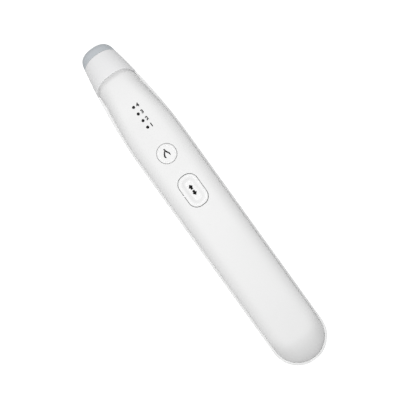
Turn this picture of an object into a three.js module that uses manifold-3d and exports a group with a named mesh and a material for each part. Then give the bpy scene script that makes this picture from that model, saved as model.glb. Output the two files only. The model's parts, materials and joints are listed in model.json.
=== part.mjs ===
// A wireless hand-held intraoral camera: a white wand with a slanted, softly rounded nose.
// Units are millimetres. +X is across the wand, +Y runs from the tail to the nose, +Z is up through the keys.
// The origin is on the table under the middle of the wand, so the keel strip rests on z = 0.
//
// The outer form is one rule, place(station, x, z). A station is a place along the wand, measured on
// the parting line. The sections lean and bow forward towards the nose, so every seam there is an arc
// when it is seen from above and the front face looks down by the slant angle.

import * as THREE from "three";
import { mergeVertices } from "three/addons/utils/BufferGeometryUtils.js";
import Module from "manifold-3d";

const wasm = await Module();
wasm.setup();

// ---------------------------------------------------------------- driving dimensions

const degrees = Math.PI / 180;

// Outline and profile of the whole form
const bodyHalfWidth = 14.5;
const tailEnd = -95;
const tailCentre = tailEnd + bodyHalfWidth;
const taperStart = 33;
const taperRadius = 285;
const crownHeight = 22;
const crownRadius = 1700;
const noseDroopStart = 60;
const noseDroopRadius = 178;
const partingHeight = 11.5;
const partingDroopRadius = 765;
const keelRadius = 934;
const keelStart = 30;
const keelTrim = 0.15;
const slant = Math.tan(25 * degrees);
const bow = 0.012;
const leanStart = 30;
const leanEnd = 74;
const squareness = { body: 6, keel: 2.6, nose: 2.4, keelNose: 2.15, tailLoss: 1.5 };
const squareEnd = { start: 40, end: 90 };

// Seams along the wand, as stations
const noseSeam = 74.7;
const ringSeam = 87.65;
const frontFace = 92.6;
const seamGap = 0.3;

// Walls and the joint between cover and shell, in from the outline or down from the parting line
const shellWall = 2.1;
const lipWidth = 0.9;
const coverInset = lipWidth + 0.3;
const coverWall = 1.6;
const coverStep = 0.9;
const coverFoot = 1.5;
const ledgeDepth = 2.3;
const coverFrontRound = { length: 2, depth: 1.1 };

// Keys and level lights
const heatKey = { y: 30.8, radius: 4.85, gap: 0.25, flange: 5.9, proud: 0.3 };
const levelKey = { y: 8.5, width: 10.3, length: 16.8, corner: 4.5, sideGap: 0.25, endGap: 0.35 };
const levelPivotHeight = 18;
const levelReach = 5.5;
const lightPitch = 4;
const lightFirst = 46.9;
const lightCount = 4;
const lightRadius = 0.65;

// Main board and the pieces on it
const board = {
  back: -8,
  front: 61,
  halfWidth: 9.2,
  top: 12.6,
  thickness: 1.2,
  rearPosts: -4.5,
  frontPosts: 55,
};
const switchBodyTop = 15.2;
const plungerTop = 16.4;

// Battery and its cradle
const cell = { radius: 7.1, back: -71.5, front: -22.5, height: 10.2, cradleWall: 0.7 };

// Screws that close the housing, from below
const screwPlaces = [
  [-7, 64],
  [7, 64],
  [-8.6, -77],
  [8.6, -77],
];
const screw = { head: 1.9, shank: 0.95, seat: 5.4, headHeight: 1.3, length: 8 };
const boss = { radius: 2.9, recess: 2.1, hole: 1.15, pilot: 1.05, postRadius: 2.1 };
const postFoot = 9.2;

// Charging contacts in the underside near the tail
const contact = { x: 3.4, y: -77, radius: 1.5, stem: 0.6 };

// Camera head, on the axis square to the slanted front face; depths run back from the face
const headTurn = -(90 * degrees + Math.atan(slant));
const windowRadius = 4.6;
const barrelRadius = 2;
const headLedCircle = 3.3;
const headLedCount = 6;

// ---------------------------------------------------------------- materials

const material = (colour, roughness, metalness = 0) =>
  new THREE.MeshStandardMaterial({ color: colour, roughness, metalness });

const shellWhite = material(0xeeeeee, 0.38);
const sleeveWhite = material(0xe9e9ea, 0.4);
const keyWhite = material(0xf3f3f3, 0.42);
const tipGrey = material(0xb7bdc6, 0.6);
const windowGlass = material(0x20262c, 0.05);
const lensGlass = material(0x2b3a55, 0.04);
const smokedPlastic = material(0x0c0c0d, 0.25);
const darkPlastic = material(0x1d1e20, 0.55);
const switchRubber = material(0x2b2b2d, 0.8);
const sealRubber = material(0x8d9096, 0.85);
const boardGreen = material(0x1f5c3a, 0.5);
const flexAmber = material(0xb87a28, 0.45);
const chipBlack = material(0x17181a, 0.5);
const steel = material(0xb9bcc0, 0.3, 1);
const gold = material(0xd8b25a, 0.28, 1);
const ledWhite = material(0xf5f1d6, 0.35);
const cellBlue = material(0x2f5f8c, 0.4);
const wireRed = material(0xb02020, 0.5);
const wireBlack = material(0x181818, 0.5);

// ---------------------------------------------------------------- solids

/** A closed three.js geometry as a solid, turned the right way out. */
function solid(geometry) {
  const bare = new THREE.BufferGeometry();
  bare.setAttribute("position", geometry.getAttribute("position").clone());
  if (geometry.index) bare.setIndex(geometry.index.clone());
  const merged = mergeVertices(bare, 1e-4);
  const build = (triVerts) =>
    new wasm.Manifold(
      new wasm.Mesh({
        numProp: 3,
        vertProperties: new Float32Array(merged.attributes.position.array),
        triVerts,
      }),
    );
  const made = build(new Uint32Array(merged.index.array));
  if (made.volume() > 0) return made;
  return build(new Uint32Array(merged.index.array).reverse());
}

/** A solid as a three.js geometry with flat faces. */
function geometryOf(made) {
  const mesh = made.getMesh();
  const geometry = new THREE.BufferGeometry();
  const places = new Float32Array(mesh.numVert * 3);
  for (let i = 0; i < mesh.numVert; i++) {
    const start = i * mesh.numProp;
    places.set(mesh.vertProperties.subarray(start, start + 3), i * 3);
  }
  geometry.setAttribute("position", new THREE.BufferAttribute(places, 3));
  geometry.setIndex(new THREE.BufferAttribute(mesh.triVerts, 1));
  const flat = geometry.toNonIndexed();
  flat.computeVertexNormals();
  return flat;
}

/** Triangles across a ring in narrow upright strips, so that a bowed end keeps its bow. */
function capTriangles(ring) {
  const count = ring.length;
  const farSide = ring.reduce((best, point, i) => (point[0] < ring[best][0] ? i : best), 0);
  const triangles = [];
  let over = 0;
  let under = count;
  while (over < farSide || under > farSide) {
    const overNext = over < farSide ? ring[over + 1][0] : -Infinity;
    const underNext = under > farSide ? ring[under - 1][0] : -Infinity;
    if (overNext >= underNext) {
      if (under % count !== over) triangles.push([over, over + 1, under % count]);
      over += 1;
    } else {
      if (under - 1 !== over) triangles.push([over, under - 1, under % count]);
      under -= 1;
    }
  }
  return triangles.filter(([a, b, c]) => a !== b && b !== c && c !== a);
}

/** Rings of points, all of one length and in order along +Y, joined into a closed solid. */
function loft(rings) {
  const count = rings[0].length;
  const last = (rings.length - 1) * count;
  const index = [];
  for (let ring = 0; ring + 1 < rings.length; ring++) {
    for (let i = 0; i < count; i++) {
      const here = ring * count + i;
      const next = ring * count + ((i + 1) % count);
      index.push(here, next + count, next, here, here + count, next + count);
    }
  }
  for (const [a, b, c] of capTriangles(rings[0])) {
    index.push(a, b, c);
  }
  for (const [a, b, c] of capTriangles(rings.at(-1))) {
    index.push(last + a, last + c, last + b);
  }
  const geometry = new THREE.BufferGeometry();
  geometry.setAttribute("position", new THREE.Float32BufferAttribute(rings.flat(2), 3));
  geometry.setIndex(index);
  return solid(geometry);
}

/** An upright round post. */
function post(radius, low, high, x = 0, y = 0, segments = 20) {
  const shape = new THREE.CylinderGeometry(radius, radius, high - low, segments);
  return solid(shape.rotateX(90 * degrees).translate(x, y, (low + high) / 2));
}

/** A box by its width, its depth, its lowest and highest place, and its centre. */
function block(width, depth, low, high, x = 0, y = 0) {
  const shape = new THREE.BoxGeometry(width, depth, high - low);
  return solid(shape.translate(x, y, (low + high) / 2));
}

/** A profile of [radius, height] points, closed on itself or on the axis, turned round Z. */
function turned(profile, segments = 28) {
  const points = profile.map(([radius, height]) => new THREE.Vector2(radius, height));
  return solid(new THREE.LatheGeometry(points, segments).rotateX(90 * degrees));
}

/** A flat ring round Z. */
function washer(outer, inner, low, high, segments = 28) {
  const profile = [
    [inner, low],
    [outer, low],
    [outer, high],
    [inner, high],
    [inner, low],
  ];
  return turned(profile, segments);
}

/** A rectangle with round corners, as a shape in the XY plane. */
function roundedRectangle(width, length, corner) {
  const shape = new THREE.Shape();
  const x = width / 2 - corner;
  const y = length / 2 - corner;
  shape.absarc(x, y, corner, 0, 90 * degrees);
  shape.absarc(-x, y, corner, 90 * degrees, 180 * degrees);
  shape.absarc(-x, -y, corner, 180 * degrees, 270 * degrees);
  shape.absarc(x, -y, corner, 270 * degrees, 360 * degrees);
  return shape;
}

/** An upright prism of a shape. */
function prism(shape, low, high, x = 0, y = 0, curveSegments = 8) {
  const settings = { depth: high - low, bevelEnabled: false, curveSegments };
  return solid(new THREE.ExtrudeGeometry(shape, settings).translate(x, y, low));
}

/** A round wire of a given radius along points. */
function wire(radius, points, steps = 20) {
  const section = new THREE.Shape().absarc(0, 0, radius, 0, 360 * degrees);
  const settings = {
    steps,
    curveSegments: 4,
    extrudePath: new THREE.CatmullRomCurve3(points.map((p) => new THREE.Vector3(...p))),
  };
  return solid(new THREE.ExtrudeGeometry(section, settings));
}

// ---------------------------------------------------------------- the outer form

/** Places between two ends, evenly spaced. */
const span = (from, to, steps) =>
  Array.from({ length: steps + 1 }, (_, i) => from + (i / steps) * (to - from));

const smooth = (share) => {
  const t = Math.min(1, Math.max(0, share));
  return t * t * (3 - 2 * t);
};

/** How far an arc of a radius has fallen at a distance past its start. */
const arcDrop = (distance, radius) => (distance > 0 ? radius - Math.sqrt(radius ** 2 - distance ** 2) : 0);

const lean = (station) => smooth((station - leanStart) / (leanEnd - leanStart));
const partingAt = (station) => partingHeight - arcDrop(station - keelStart, partingDroopRadius);

/** The share of full size left in the round tail, 1 in front of its centre. */
function tailShare(station, inset) {
  const past = Math.max(0, tailCentre - station) / (bodyHalfWidth - inset);
  return Math.sqrt(Math.max(0, 1 - past ** 2));
}

const halfWidth = (station, inset = 0) =>
  (bodyHalfWidth - inset - arcDrop(station - taperStart, taperRadius)) * tailShare(station, inset);

/** Height of the crown over the parting line, less a wall or a step. */
function crownRise(station, inset = 0, less = 0) {
  const fall = arcDrop(Math.abs(station), crownRadius) + arcDrop(station - noseDroopStart, noseDroopRadius);
  return (crownHeight - fall - partingAt(station) - less) * tailShare(station, inset);
}

/** Depth of the keel under the parting line, less a wall. */
function keelDrop(station, inset = 0) {
  const rise = arcDrop(station - keelStart, keelRadius);
  return (partingAt(station) - rise - inset) * tailShare(station, inset);
}

/** A point of the form: the sections lean with the slant and bow back at the sides. */
function place(station, x, z) {
  const share = lean(station);
  const y = station + share * (slant * (z - partingAt(station)) - bow * x ** 2);
  return [x, y, z];
}

/** The crown's height at a place along Y, on the middle line. */
function crownAt(y) {
  let station = y;
  for (let round = 0; round < 6; round++) {
    station = y - lean(station) * slant * crownRise(station);
  }
  return partingAt(station) + crownRise(station);
}

/** The point of a super-ellipse in a direction, as [x, z]. */
function superPoint(angle, width, height, power) {
  const c = Math.abs(Math.cos(angle));
  const s = Math.abs(Math.sin(angle));
  const reach = ((c / width) ** power + (s / height) ** power) ** (-1 / power);
  return [reach * Math.cos(angle), reach * Math.sin(angle)];
}

const upperPower = (station) => {
  const tail = Math.max(0, tailCentre - station) / bodyHalfWidth;
  const nose = smooth((station - squareEnd.start) / (squareEnd.end - squareEnd.start));
  return squareness.body - squareness.tailLoss * tail - (squareness.body - squareness.nose) * nose;
};
const keelPower = (station) =>
  squareness.keel - (squareness.keel - squareness.keelNose) * lean(station);

/** The upper half of a section, from +X over the crown to -X, inset at the sides and lower at the top. */
function upperArc(station, inset, less = 0, quarter = 7) {
  const points = [];
  const width = halfWidth(station, inset);
  const rise = crownRise(station, inset, less);
  for (let i = 0; i <= 2 * quarter; i++) {
    const angle = (i / quarter) * 90 * degrees;
    const [x, z] = superPoint(angle, width, rise, upperPower(station));
    points.push([x, partingAt(station) + z]);
  }
  return points;
}

/** The lower half of a section, from -X under the keel to +X, with the flat keel strip. */
function lowerArc(station, inset, quarter = 7) {
  const points = [];
  const width = halfWidth(station, inset);
  const drop = keelDrop(station, inset);
  for (let i = 0; i <= 2 * quarter; i++) {
    const angle = (2 + i / quarter) * 90 * degrees;
    const [x, z] = superPoint(angle, width, drop + keelTrim, keelPower(station));
    points.push([x, partingAt(station) + Math.max(z, -drop)]);
  }
  return points;
}

/** A section closed by a straight edge at a height, with a point there for each point of the arc. */
const closedAt = (height, arc) => [...arc, ...arc.map(([x]) => [x, height]).reverse()];

/** Stations from the round tail to an end, close together where the form curves. */
function stationsTo(end, inset, tailSteps = 6, noseStep = 8) {
  const found = [];
  for (let i = 0; i < tailSteps; i++) {
    const angle = (87 * (1 - i / tailSteps)) * degrees;
    found.push(tailCentre - (bodyHalfWidth - inset) * Math.sin(angle));
  }
  const bodySteps = 4;
  for (let i = 0; i < bodySteps; i++) {
    found.push(tailCentre + (i / bodySteps) * (taperStart - tailCentre));
  }
  const noseSteps = Math.ceil((end - taperStart) / noseStep);
  for (let i = 0; i <= noseSteps; i++) {
    found.push(taperStart + (i / noseSteps) * (end - taperStart));
  }
  return found;
}

/** A loft of sections given as [x, z] lists. */
const formLoft = (stations, section) =>
  loft(stations.map((station) => section(station).map(([x, z]) => place(station, x, z))));

/** A form from the keel up to a height over the parting line, cut square above. */
function keeled(stations, inset, top, quarter) {
  return formLoft(stations, (station) => {
    const arc = lowerArc(station, inset, quarter);
    return [...arc.map(([x]) => [x, partingAt(station) + top]).reverse(), ...arc];
  });
}

/** A flat slab of the outline between two heights over the parting line. */
function slab(stations, inset, low, high, steps = 6) {
  return formLoft(stations, (station) => {
    const width = halfWidth(station, inset);
    const across = span(width, -width, steps);
    const middle = partingAt(station);
    return closedAt(
      middle + low,
      across.map((x) => [x, middle + high]),
    );
  });
}

/** A full section all round: the crown is lowered by the cover's step. */
function tube(stations, insetOf, quarter = 7) {
  return formLoft(stations, (station) => {
    const inset = insetOf(station);
    const above = upperArc(station, inset, coverStep + inset, quarter);
    const below = lowerArc(station, inset, quarter);
    return [...above, ...below.slice(1, -1)];
  });
}

// ---------------------------------------------------------------- camera head frame

const headHeight = partingAt(frontFace) + (crownRise(frontFace, 0, coverStep) - keelDrop(frontFace)) / 2 - 0.5;
const headPlace = new THREE.Vector3(...place(frontFace, 0, headHeight));
const head = new THREE.Group();
head.position.copy(headPlace);
head.rotation.x = headTurn;
head.updateMatrixWorld(true);

/** A closed geometry made on the head's own axis, as a solid in the part's frame. */
const inHead = (geometry) => solid(geometry.applyMatrix4(head.matrixWorld));

const headRod = (radius, low, high, segments = 28) =>
  inHead(
    new THREE.CylinderGeometry(radius, radius, high - low, segments)
      .rotateX(90 * degrees)
      .translate(0, 0, (low + high) / 2),
  );

// ---------------------------------------------------------------- housing

/** The white cover: crowned skin, skirt, key and light holes, screw posts and pivot lugs. */
function makeTopCover() {
  const end = noseSeam - seamGap / 2;
  const roundStart = end - coverFrontRound.length;
  const roundOff = (station) => {
    const share = Math.min(0.97, Math.max(0, (station - roundStart) / coverFrontRound.length));
    return coverFrontRound.depth * (1 - Math.sqrt(1 - share ** 2));
  };
  const stations = [...stationsTo(roundStart, coverInset), ...span(roundStart, end, 4).slice(1)];
  const skin = formLoft(stations, (station) => {
    const off = roundOff(station);
    return closedAt(partingAt(station) - coverFoot, upperArc(station, coverInset + off, off));
  });
  const inside = (wall) =>
    formLoft(stationsTo(noseSeam + 6, coverInset + wall, 4, 12), (station) =>
      closedAt(partingAt(station) - coverFoot - 1, upperArc(station, coverInset + wall, wall, 5)),
    );
  let cover = skin.subtract(inside(coverWall));

  const clearOfSkin = inside(coverWall / 2);
  for (const [x, y] of screwPlaces) {
    cover = cover.add(post(boss.postRadius, postFoot, crownHeight, x, y, 14).intersect(clearOfSkin));
    cover = cover.subtract(post(boss.pilot, postFoot - 1, screw.seat + screw.length + 0.6, x, y, 12));
  }

  const lug = (side) =>
    block(1.4, 3.6, levelPivotHeight - 1.7, crownAt(levelKey.y) - 1, side * 6.3, levelKey.y);
  cover = cover.add(lug(-1)).add(lug(1)).subtract(pivotRod(0.85, 16));

  cover = cover.subtract(post(heatKey.radius + heatKey.gap, 15, 25, 0, heatKey.y, 28));
  const levelHole = roundedRectangle(
    levelKey.width + 2 * levelKey.sideGap,
    levelKey.length + 2 * levelKey.endGap,
    levelKey.corner + levelKey.sideGap,
  );
  cover = cover.subtract(prism(levelHole, levelPivotHeight + 2, 25, 0, levelKey.y));
  for (let i = 0; i < lightCount; i++) {
    cover = cover.subtract(post(lightRadius + 0.12, 15, 25, 0, lightFirst + i * lightPitch, 12));
  }
  return cover;
}

/** A rod across the wand on the level key's pivot line. */
function pivotRod(radius, width, segments = 20) {
  const shape = new THREE.CylinderGeometry(radius, radius, width, segments);
  return solid(shape.rotateZ(90 * degrees).translate(0, levelKey.y, levelPivotHeight));
}

/** The white shell under the parting line: keel, lip, ledge, screw bosses, board posts and contact holes. */
function makeLowerShell() {
  const end = noseSeam - seamGap / 2;
  const outer = keeled(stationsTo(end, 0), 0, 0, 7);
  const hollow = keeled(stationsTo(end + 6, shellWall, 4, 12), shellWall, 4, 5);
  const pocket = slab(stationsTo(end + 6, lipWidth), lipWidth, -ledgeDepth, 2);
  let shell = outer.subtract(hollow).subtract(pocket);

  const clearOf = keeled(stationsTo(end, 0.6, 4, 12), 0.6, 0, 4);
  for (const [x, y] of screwPlaces) {
    shell = shell.add(post(boss.radius, 0.3, postFoot - 0.3, x, y, 18).intersect(clearOf));
    shell = shell.subtract(post(boss.recess, -1, screw.seat, x, y, 18));
    shell = shell.subtract(post(boss.hole, -1, 12, x, y, 12));
  }
  const underBoard = board.top - board.thickness - 0.1;
  for (const y of [board.rearPosts, board.frontPosts]) {
    for (const side of [-1, 1]) {
      shell = shell.add(post(1.7, 1.5, underBoard, side * 7.4, y, 10).intersect(clearOf));
    }
  }
  for (const side of [-1, 1]) {
    shell = shell.subtract(post(contact.radius + 0.15, -1, 0.9, side * contact.x, contact.y, 16));
    shell = shell.subtract(post(contact.stem + 0.15, -1, 4, side * contact.x, contact.y, 12));
  }
  return shell;
}

/** The seal that lies on the shell's ledge under the cover's foot, round both sides and the tail. */
function makeHousingSeal() {
  const outerInset = lipWidth + 0.1;
  const innerInset = shellWall - 0.1;
  const low = -ledgeDepth + 0.05;
  const high = -coverFoot - 0.05;
  const end = noseSeam - 1.5;
  const whole = slab(stationsTo(end, outerInset), outerInset, low, high);
  const middle = slab(stationsTo(end + 6, innerInset), innerInset, low - 1, high + 1);
  return whole.subtract(middle);
}

/** The nose sleeve: a full round tube between the two slanted seams, with a spigot into the body. */
function makeNoseSleeve() {
  const start = noseSeam + seamGap / 2;
  const end = ringSeam - 0.05;
  const skin = tube(span(start, end, 3), () => 0);
  const spigot = tube(span(start - 3.4, start + 1, 1), () => 3.5, 6);
  const boreStations = [start - 5, start + 0.9, start + 3, ringSeam - 6, end + 3];
  const bore = tube(boreStations, (station) => (station < start + 1 ? 4.7 : 1.8), 6);
  return skin.add(spigot).subtract(bore);
}

/** The grey tip ring: a soft ring with a rounded front edge, the window seat and a spigot into the sleeve. */
function makeTipRing() {
  const start = ringSeam + 0.05;
  const round = 2.6;
  const roundStart = frontFace - round;
  const insetOf = (station) => {
    const share = Math.min(0.98, Math.max(0, (station - roundStart) / round));
    return round * 0.8 * (1 - Math.sqrt(1 - share ** 2));
  };
  const shares = [0.45, 0.75, 0.93, 1];
  const stations = [start, roundStart, ...shares.map((share) => roundStart + share * round)];
  const skin = tube(stations, insetOf);
  const spigot = tube(span(start - 2.8, start + 0.5, 1), () => 2.1, 6);
  return skin
    .add(spigot)
    .subtract(headRod(windowRadius + 0.15, -2, 6))
    .subtract(headRod(windowRadius - 0.7, -6, 2))
    .subtract(headRod(windowRadius + 0.35, -12, -2.7));
}

// ---------------------------------------------------------------- keys

/** The round heat key: a dished cap in the cover's hole, a flange under the skin and a stem to its switch. */
function makeHeatKey() {
  const top = crownAt(heatKey.y) + heatKey.proud;
  const profile = [
    [0, plungerTop + 0.05],
    [1.5, plungerTop + 0.05],
    [1.5, 18.8],
    [heatKey.flange, 18.8],
    [heatKey.flange, 19.8],
    [heatKey.radius, 19.8],
    [heatKey.radius, top - 0.5],
    [heatKey.radius - 0.15, top - 0.15],
    [heatKey.radius - 0.5, top],
    [heatKey.radius - 1.1, top],
    [heatKey.radius - 2.4, top - 0.16],
    [0, top - 0.28],
  ];
  return turned(profile, 28).translate(0, heatKey.y, 0);
}

/** The two-way level key: a dished oblong cap on a hub with the pivot bore, and one stem for each switch. */
function makeLevelKey() {
  const top = crownAt(levelKey.y) + 0.35;
  const { width, length, corner } = levelKey;
  const cap = prism(roundedRectangle(width, length, corner), 19.4, top - 0.4, 0, levelKey.y);
  const bevelled = prism(roundedRectangle(width - 0.6, length - 0.6, corner - 0.3), top - 0.5, top, 0, levelKey.y);
  const dish = new THREE.SphereGeometry(1, 24, 14).scale(9, 15.6, 5).translate(0, levelKey.y, top + 5 - 0.5);
  const hub = block(9, 3.4, levelPivotHeight, 19.6, 0, levelKey.y).add(
    solid(
      new THREE.CylinderGeometry(1.7, 1.7, 9, 18)
        .rotateZ(90 * degrees)
        .translate(0, levelKey.y, levelPivotHeight),
    ),
  );
  let key = cap.add(bevelled).add(hub).subtract(solid(dish)).subtract(pivotRod(0.85, 16));
  for (const side of [-1, 1]) {
    key = key.add(post(1.1, plungerTop + 0.05, 19.6, 0, levelKey.y + side * levelReach, 12));
  }
  return key;
}

// ---------------------------------------------------------------- electronics

/** A sealed tactile switch's case, with the well that its plunger sinks into. */
const makeSwitchBody = (y) =>
  block(5, 5, board.top + 0.05, switchBodyTop, 0, y).subtract(
    post(1.6, board.top + 0.7, switchBodyTop + 1, 0, y, 20),
  );

/** The rubber plunger of a tactile switch: a stem in the well under a wider pad. */
const makePlunger = (y) =>
  turned([
    [0, board.top + 1.4],
    [1, board.top + 1.4],
    [1.1, board.top + 1.6],
    [1.1, switchBodyTop + 0.6],
    [1.6, switchBodyTop + 0.7],
    [1.6, plungerTop],
    [0, plungerTop],
  ], 16).translate(0, y, 0);

/** The main board, with its screw holes. */
function makeMainBoard() {
  const length = board.front - board.back;
  const middle = (board.front + board.back) / 2;
  const outline = roundedRectangle(2 * board.halfWidth, length, 1.5);
  let made = prism(outline, board.top - board.thickness, board.top, 0, middle, 4);
  for (const y of [board.rearPosts, board.frontPosts]) {
    for (const side of [-1, 1]) {
      made = made.subtract(post(0.9, board.top - 3, board.top + 1, side * 7.4, y, 10));
    }
  }
  return made;
}

/** The clear light guide: a bar under the cover with a pin up and a leg down for each level light. */
function makeLightGuide() {
  const middle = lightFirst + ((lightCount - 1) * lightPitch) / 2;
  const underSkin = crownAt(lightFirst + 3 * lightPitch) - coverWall;
  let guide = block(3.4, lightCount * lightPitch, underSkin - 1.5, underSkin - 0.35, 0, middle);
  for (let i = 0; i < lightCount; i++) {
    const y = lightFirst + i * lightPitch;
    guide = guide.add(post(lightRadius, underSkin - 1, crownAt(y) + 0.05, 0, y, 12));
    guide = guide.add(post(0.95, board.top + 1.1, underSkin - 1, 0, y, 12));
  }
  return guide;
}

/** The battery cradle: a trough under the cell with end stops and two feet along the keel. */
function makeBatteryCradle() {
  const back = cell.back - 1.3;
  const front = cell.front + 1.3;
  const length = front - back;
  const middle = (front + back) / 2;
  const rod = (radius, depth) =>
    solid(new THREE.CylinderGeometry(radius, radius, depth, 24).translate(0, middle, cell.height));
  const trough = rod(cell.radius + cell.cradleWall, length).subtract(
    block(30, length + 2, cell.height - 1.2, 30, 0, middle),
  );
  const feet = block(5, length, 2.3, 4, 0, middle);
  return trough.add(feet).subtract(rod(cell.radius + 0.15, cell.front - cell.back + 0.5));
}

/** The battery cell: a can with a shoulder and a raised pole at its front end. */
function makeBattery() {
  const length = cell.front - cell.back;
  const profile = [
    [0, 0],
    [cell.radius - 0.4, 0],
    [cell.radius, 0.4],
    [cell.radius, length - 1.2],
    [cell.radius - 0.6, length - 0.7],
    [2.6, length - 0.7],
    [2.6, length],
    [0, length],
  ];
  const points = profile.map(([radius, height]) => new THREE.Vector2(radius, height));
  return solid(new THREE.LatheGeometry(points, 24).translate(0, cell.back, cell.height));
}

/** A housing screw: head in the shell's recess, shank up into the cover's post. */
function makeHousingScrew([x, y]) {
  const low = screw.seat - 0.05 - screw.headHeight;
  const profile = [
    [0, low],
    [screw.head, low],
    [screw.head, low + screw.headHeight],
    [screw.shank, low + screw.headHeight],
    [screw.shank, low + screw.length],
    [0.3, low + screw.length + 0.8],
    [0, low + screw.length + 0.8],
  ];
  const slot = block(2.4, 0.5, low - 1, low + 0.6).add(block(0.5, 2.4, low - 1, low + 0.6));
  return turned(profile, 12).subtract(slot).translate(x, y, 0);
}

/** A soft plug that closes a screw recess flush with the keel. */
function makeScrewPlug([x, y]) {
  const top = screw.seat - screw.headHeight - 0.4;
  const stem = post(boss.recess - 0.1, -1, top, x, y, 20);
  return stem.intersect(keeled(stationsTo(noseSeam, 0.05), 0.05, 0, 7));
}

/** A gold charging contact: a pad in the keel with a stem up to the charging board. */
const makeChargeContact = (side) =>
  turned([
    [0, 0.1],
    [contact.radius, 0.1],
    [contact.radius, 0.8],
    [contact.stem, 0.8],
    [contact.stem, 3.2],
    [0, 3.2],
  ], 16).translate(side * contact.x, contact.y, 0);

// ---------------------------------------------------------------- camera head pieces

/** The glass in front of the camera and its lights. */
const makeWindow = () => {
  const edge = windowRadius - 0.2;
  const profile = [
    [0, -1.2],
    [edge, -1.2],
    [windowRadius, -1],
    [windowRadius, -0.5],
    [edge, -0.3],
    [0, -0.3],
  ];
  return turned(profile, 28);
};

/** The round board behind the window, with a hole for the lens barrel. */
const makeLedBoard = () => washer(windowRadius + 0.15, barrelRadius + 0.2, -4.3, -3.7, 24);

/** The lens barrel, with a seat for the front lens and a clear way through. */
const makeLensBarrel = () =>
  turned([
    [1.6, -2.3],
    [barrelRadius, -2.3],
    [barrelRadius, -6.2],
    [1.1, -6.2],
    [1.1, -3],
    [1.6, -3],
    [1.6, -2.3],
  ], 22);

/** The front lens: flat behind, domed in front. */
const makeFrontLens = () =>
  turned([
    [0, -2.95],
    [1.5, -2.95],
    [1.5, -2.7],
    [1.1, -2.5],
    [0.6, -2.42],
    [0, -2.4],
  ], 18);

/** The rear lens, in the middle of the barrel. */
const makeRearLens = () =>
  turned([
    [0, -5.3],
    [0.7, -5.2],
    [1, -5],
    [1, -4.6],
    [0.7, -4.4],
    [0, -4.3],
  ], 16);

/** The holder that carries the barrel, filter and sensor: a round flange and a square body. */
function makeCameraHolder() {
  const flange = post(windowRadius + 0.15, -4.95, -4.35, 0, 0, 24);
  const body = block(7, 5.2, -7.5, -4.9);
  return flange
    .add(body)
    .subtract(post(barrelRadius + 0.1, -6.3, 0, 0, 0, 22))
    .subtract(block(4.4, 4.4, -8, -6.3));
}

/** The flat ribbon from the back of the sensor board to its socket under the main board. */
function makeSensorFlex() {
  const boardBack = new THREE.Vector3(0, 0, -8.5).applyMatrix4(head.matrixWorld);
  const route = new THREE.CatmullRomCurve3([
    boardBack,
    new THREE.Vector3(0, boardBack.y - 3, boardBack.z + 0.6),
    new THREE.Vector3(0, 74, 10.9),
    new THREE.Vector3(0, 66, 10.7),
    new THREE.Vector3(0, 60.3, 10.7),
  ]);
  const section = new THREE.Shape();
  section.moveTo(-2.5, -0.1).lineTo(2.5, -0.1).lineTo(2.5, 0.1).lineTo(-2.5, 0.1).closePath();
  const settings = { steps: 24, bevelEnabled: false, extrudePath: route };
  return solid(new THREE.ExtrudeGeometry(section, settings));
}

// ---------------------------------------------------------------- assembly

const wand = new THREE.Group();

function add(name, made, finish, group = wand) {
  const mesh = new THREE.Mesh(geometryOf(made), finish);
  mesh.name = name;
  group.add(mesh);
}

add("top_cover", makeTopCover(), shellWhite);
add("lower_shell", makeLowerShell(), shellWhite);
add("housing_seal", makeHousingSeal(), sealRubber);
add("nose_sleeve", makeNoseSleeve(), sleeveWhite);
add("tip_ring", makeTipRing(), tipGrey);

add("heat_key", makeHeatKey(), keyWhite);
add("level_key", makeLevelKey(), keyWhite);
add("level_key_pin", pivotRod(0.75, 14), steel);

const switches = {
  heat: heatKey.y,
  level_up: levelKey.y + levelReach,
  level_down: levelKey.y - levelReach,
};
for (const [name, y] of Object.entries(switches)) {
  add(`${name}_switch`, makeSwitchBody(y), darkPlastic);
  add(`${name}_plunger`, makePlunger(y), switchRubber);
}

add("main_board", makeMainBoard(), boardGreen);
const underBoard = board.top - board.thickness - 0.05;
add("processor_chip", block(8, 8, underBoard - 1.1, underBoard, 0, 34), chipBlack);
add("wireless_module", block(13, 17, underBoard - 2.2, underBoard, 0, 12), steel);
add("sensor_socket", block(7, 3, underBoard - 1.2, underBoard, 0, 58.5), darkPlastic);
add("light_guide", makeLightGuide(), smokedPlastic);
for (let i = 0; i < lightCount; i++) {
  const y = lightFirst + i * lightPitch;
  add(`level_light_${i + 1}`, block(1.6, 1.2, board.top + 0.05, board.top + 0.8, 0, y), ledWhite);
}
[-1, 1].forEach((side, i) => {
  const low = board.top + 0.05;
  const cap = post(1.6, low, low + 1, side * 7.4, board.rearPosts, 16);
  const slot = block(2, 0.4, low + 0.5, low + 2, side * 7.4, board.rearPosts);
  add(`board_screw_${i + 1}`, cap.subtract(slot), steel);
});

add("battery_cradle", makeBatteryCradle(), darkPlastic);
add("battery", makeBattery(), cellBlue);
add("battery_socket", block(6, 4, board.top + 0.05, board.top + 3, 0, -5.6), darkPlastic);
const leadEnds = { battery_lead_red: [1.2, wireRed], battery_lead_black: [-1.2, wireBlack] };
for (const [name, [x, finish]] of Object.entries(leadEnds)) {
  const route = [
    [x * 3.4, cell.front + 0.6, cell.height + 4.4],
    [x * 3.2, cell.front + 4, cell.height + 5.6],
    [x * 2, -13, 15.6],
    [x, -8.2, 14.4],
    [x, -7.8, 14.4],
  ];
  add(name, wire(0.5, route, 12), finish);
}

for (const [i, side] of [-1, 1].entries()) {
  add(`charge_contact_${i + 1}`, makeChargeContact(side), gold);
}
add("charge_board", block(10, 7, 3.3, 4.3, 0, contact.y), boardGreen);

screwPlaces.forEach((spot, i) => {
  add(`housing_screw_${i + 1}`, makeHousingScrew(spot), steel);
  add(`screw_plug_${i + 1}`, makeScrewPlug(spot), sealRubber);
});

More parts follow.
